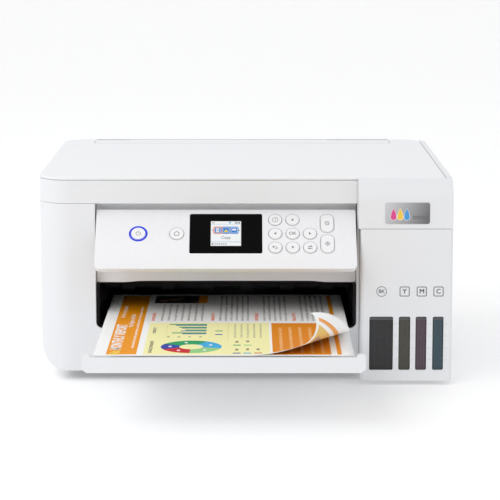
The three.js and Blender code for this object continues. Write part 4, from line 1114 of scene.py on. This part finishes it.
def wheelTree():  # spur wheels along a shaft
    tree = Tree("spurWheels")
    count = tree.input("Count", "Int", 9)
    start = tree.input("Start", "Vector")
    step = tree.input("Step", "Vector")
    outer = tree.input("Outer", "Float", 0.0045)
    inner = tree.input("Inner", "Float", 0.0036)
    width = tree.input("Width", "Float", 0.0008)
    material = tree.input("Material", "Material")
    places = {"Count": count, "Start Location": start, "Offset": step}
    line = tree.node("GeometryNodeMeshLine", {"mode": "OFFSET"}, places)
    teeth = {"Points": 16, "Inner Radius": inner, "Outer Radius": outer}
    star = tree.node("GeometryNodeCurveStar", {}, teeth)
    disc = tree.node("GeometryNodeFillCurve", {"mode": "NGONS"}, {"Curve": star[0]})
    solid = tree.node("GeometryNodeExtrudeMesh", {}, {"Mesh": disc[0], "Offset Scale": width})
    flipped = tree.node("GeometryNodeFlipFaces", {}, {"Mesh": disc[0]})
    whole = tree.node("GeometryNodeJoinGeometry", {}, {})
    for part in (solid[0], flipped[0]):
        tree.group.links.new(part, whole[0].node.inputs[0])
    merged = tree.node("GeometryNodeMergeByDistance", {}, {"Geometry": whole[0], "Distance": 0.00001})
    tree.finish(tree.repeat(line[0], merged[0], (0, math.pi / 2, 0)), material)
    return tree


def grow(name, tree, inputs, look, body, points=(), edge=0.0):
    seed = bpy.data.meshes.new(name + "_seed")
    seed.from_pydata([tuple(p) for p in points], [], [])
    holder = bpy.data.objects.new(name + "_seed", seed)
    scene.collection.objects.link(holder)
    maker = holder.modifiers.new("maker", "NODES")
    maker.node_group = tree.group
    for key, setting in {**inputs, "Material": looks[look].material}.items():
        maker[tree.names[key]] = setting
    ready = holder.evaluated_get(bpy.context.evaluated_depsgraph_get())
    mesh = bpy.data.meshes.new_from_object(ready)
    mesh.name = name
    shape = bmesh.new()
    shape.from_mesh(mesh)
    bmesh.ops.delete(shape, geom=[v for v in shape.verts if not v.link_faces], context="VERTS")
    shape.to_mesh(mesh)
    shape.free()
    bpy.data.objects.remove(holder)
    piece = bpy.data.objects.new(name, mesh)
    scene.collection.objects.link(piece)
    if edge:
        bevel = piece.modifiers.new("brokenEdges", "BEVEL")
        bevel.width = edge * mm
        bevel.segments = 2
        bevel.limit_method = "ANGLE"
    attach(piece, body)
    return piece


rows, screws, wheels = rowTree(), screwTree(), wheelTree()
caseBack = 326
screw = {
    "radius": 3.1, "depth": 1.4, "slotLong": 4.2, "slotWide": 0.9, "slotDeep": 1.2,
    "back": ((-140, 118), (118, 118), (-100, 22), (60, 22)), "backSink": 0.67,
    "floorX": (-120, 84), "floorY": (36, 268), "floorZ": 8.9, "slotShadeTint": (78, 80, 84),
}
long, wide, deep = (screw[key] * mm for key in ("slotLong", "slotWide", "slotDeep"))
screwSize = {
    "Radius": screw["radius"] * mm, "Depth": screw["depth"] * mm,
    "Slot": (long, wide, deep), "Cross": (wide, long, deep),
}
backScrews = [at(x, caseBack - screw["backSink"], z) for x, z in screw["back"]]  # heads flush with the back
toBack = {**screwSize, "Turn": (-math.pi / 2, 0, 0)}
grow("back_screws", screws, toBack, "railSteel", "base", backScrews)


def onBack(x, z, lift):  # x runs to the right as seen from behind
    return at(-x, caseBack + lift, z)


# painted shade: dark crosses laid over the back screw heads, where their cross slots are recessed
slotShade = Drawing().ink(*screw["slotShadeTint"])
for x, z in screw["back"]:
    half, thin = screw["slotLong"] / 2, screw["slotWide"] / 2
    slotShade.rect(-x - half, -x + half, z - thin, z + thin)
    slotShade.rect(-x - thin, -x + thin, z + thin, z + half)
    slotShade.rect(-x - thin, -x + thin, z - half, z - thin)
layOn("screw_slot_shade", slotShade, onBack, "printedInk", "base", 0.01, 0.05)

floorScrews = [at(x, y, screw["floorZ"]) for x in screw["floorX"] for y in screw["floorY"]]
toFloor = {**screwSize, "Turn": (math.pi, 0, 0)}
grow("floor_screws", screws, toFloor, "railSteel", "base", floorScrews)

# spur wheels over the exit roller and their shaft
spurs = {
    "first": -118, "pitch": 19.8, "count": 11, "y": 99.5, "z": 81,
    "outer": 4.4, "inner": 3.5, "width": 1.0, "shaftX": -17, "shaftLong": 226, "shaftThick": 1.8,
}
grow("spur_wheels", wheels, {
    "Count": spurs["count"], "Start": at(spurs["first"], spurs["y"], spurs["z"]),
    "Step": (spurs["pitch"] * mm, 0, 0), "Outer": spurs["outer"] * mm, "Inner": spurs["inner"] * mm,
    "Width": spurs["width"] * mm,
}, "innerBlack", "base")


def blocks(count, start, pitch, size, turn=0):  # inputs of a row of boxes, in millimetres and degrees
    return {
        "Count": count, "Start": at(*start), "Step": (pitch * mm, 0, 0),
        "Size": tuple(v * mm for v in size), "Turn": (math.radians(turn), 0, 0),
    }


shaftSize = (spurs["shaftLong"], spurs["shaftThick"], spurs["shaftThick"])
shaft = blocks(1, (spurs["shaftX"], spurs["y"], spurs["z"]), 0, shaftSize)
grow("spur_shaft", rows, shaft, "innerBlack", "base", edge=0.7)

# ribs under the base and on the paper support, and a black strip of painted shade in the joint beside the
# tank cover
floorRibs = blocks(9, (-100, 160, 8.4), 22, (1.6, 150, 1.4))
grow("floor_ribs", rows, floorRibs, "frameGrey", "base", edge=0.3)
supportRibs = blocks(8, (-80.5, 316.2, 180.5), 22, (1.2, 0.6, 9), -25)
grow("support_ribs", rows, supportRibs, "caseWhite", "paper_support", edge=0.2)
# painted shade: a black strip standing in the joint beside the tank cover
coverGapShade = blocks(1, (102.05, 6.5, 152), 0, (0.7, 7, 60))
grow("cover_gap_shade", rows, coverGapShade, "innerBlack", "base", edge=0.1)

print("printer: repeated pieces grown")

# floor and backdrop

def backdrop():
    look = Look("studioPaper", (studio["floorShade"],) * 3, 0.6)
    look.shader.inputs["Emission Color"].default_value = (1, 1, 1, 1)
    look.shader.inputs["Emission Strength"].default_value = studio["floorGlow"]
    back, bend, half = studio["floorBack"], studio["bend"], studio["floorHalf"]
    profile = [(studio["floorFront"], 0), (back, 0)]
    for i in range(1, studio["bendSteps"] + 1):
        turn = math.pi / 2 * i / studio["bendSteps"]
        profile.append((back + bend * math.sin(turn), bend - bend * math.cos(turn)))
    profile.append((back + bend, studio["wallTop"]))
    shape = bmesh.new()
    left, right = [[shape.verts.new((x, y, z)) for y, z in profile] for x in (-half, half)]
    for i in range(len(profile) - 1):
        shape.faces.new((left[i], right[i], right[i + 1], left[i + 1]))
    for face in shape.faces:
        face.smooth = True
    mesh = bpy.data.meshes.new("studioFloor")
    shape.to_mesh(mesh)
    shape.free()
    mesh.materials.append(look.material)
    floor = bpy.data.objects.new("studioFloor", mesh)
    scene.collection.objects.link(floor)


backdrop()

print("printer: done")
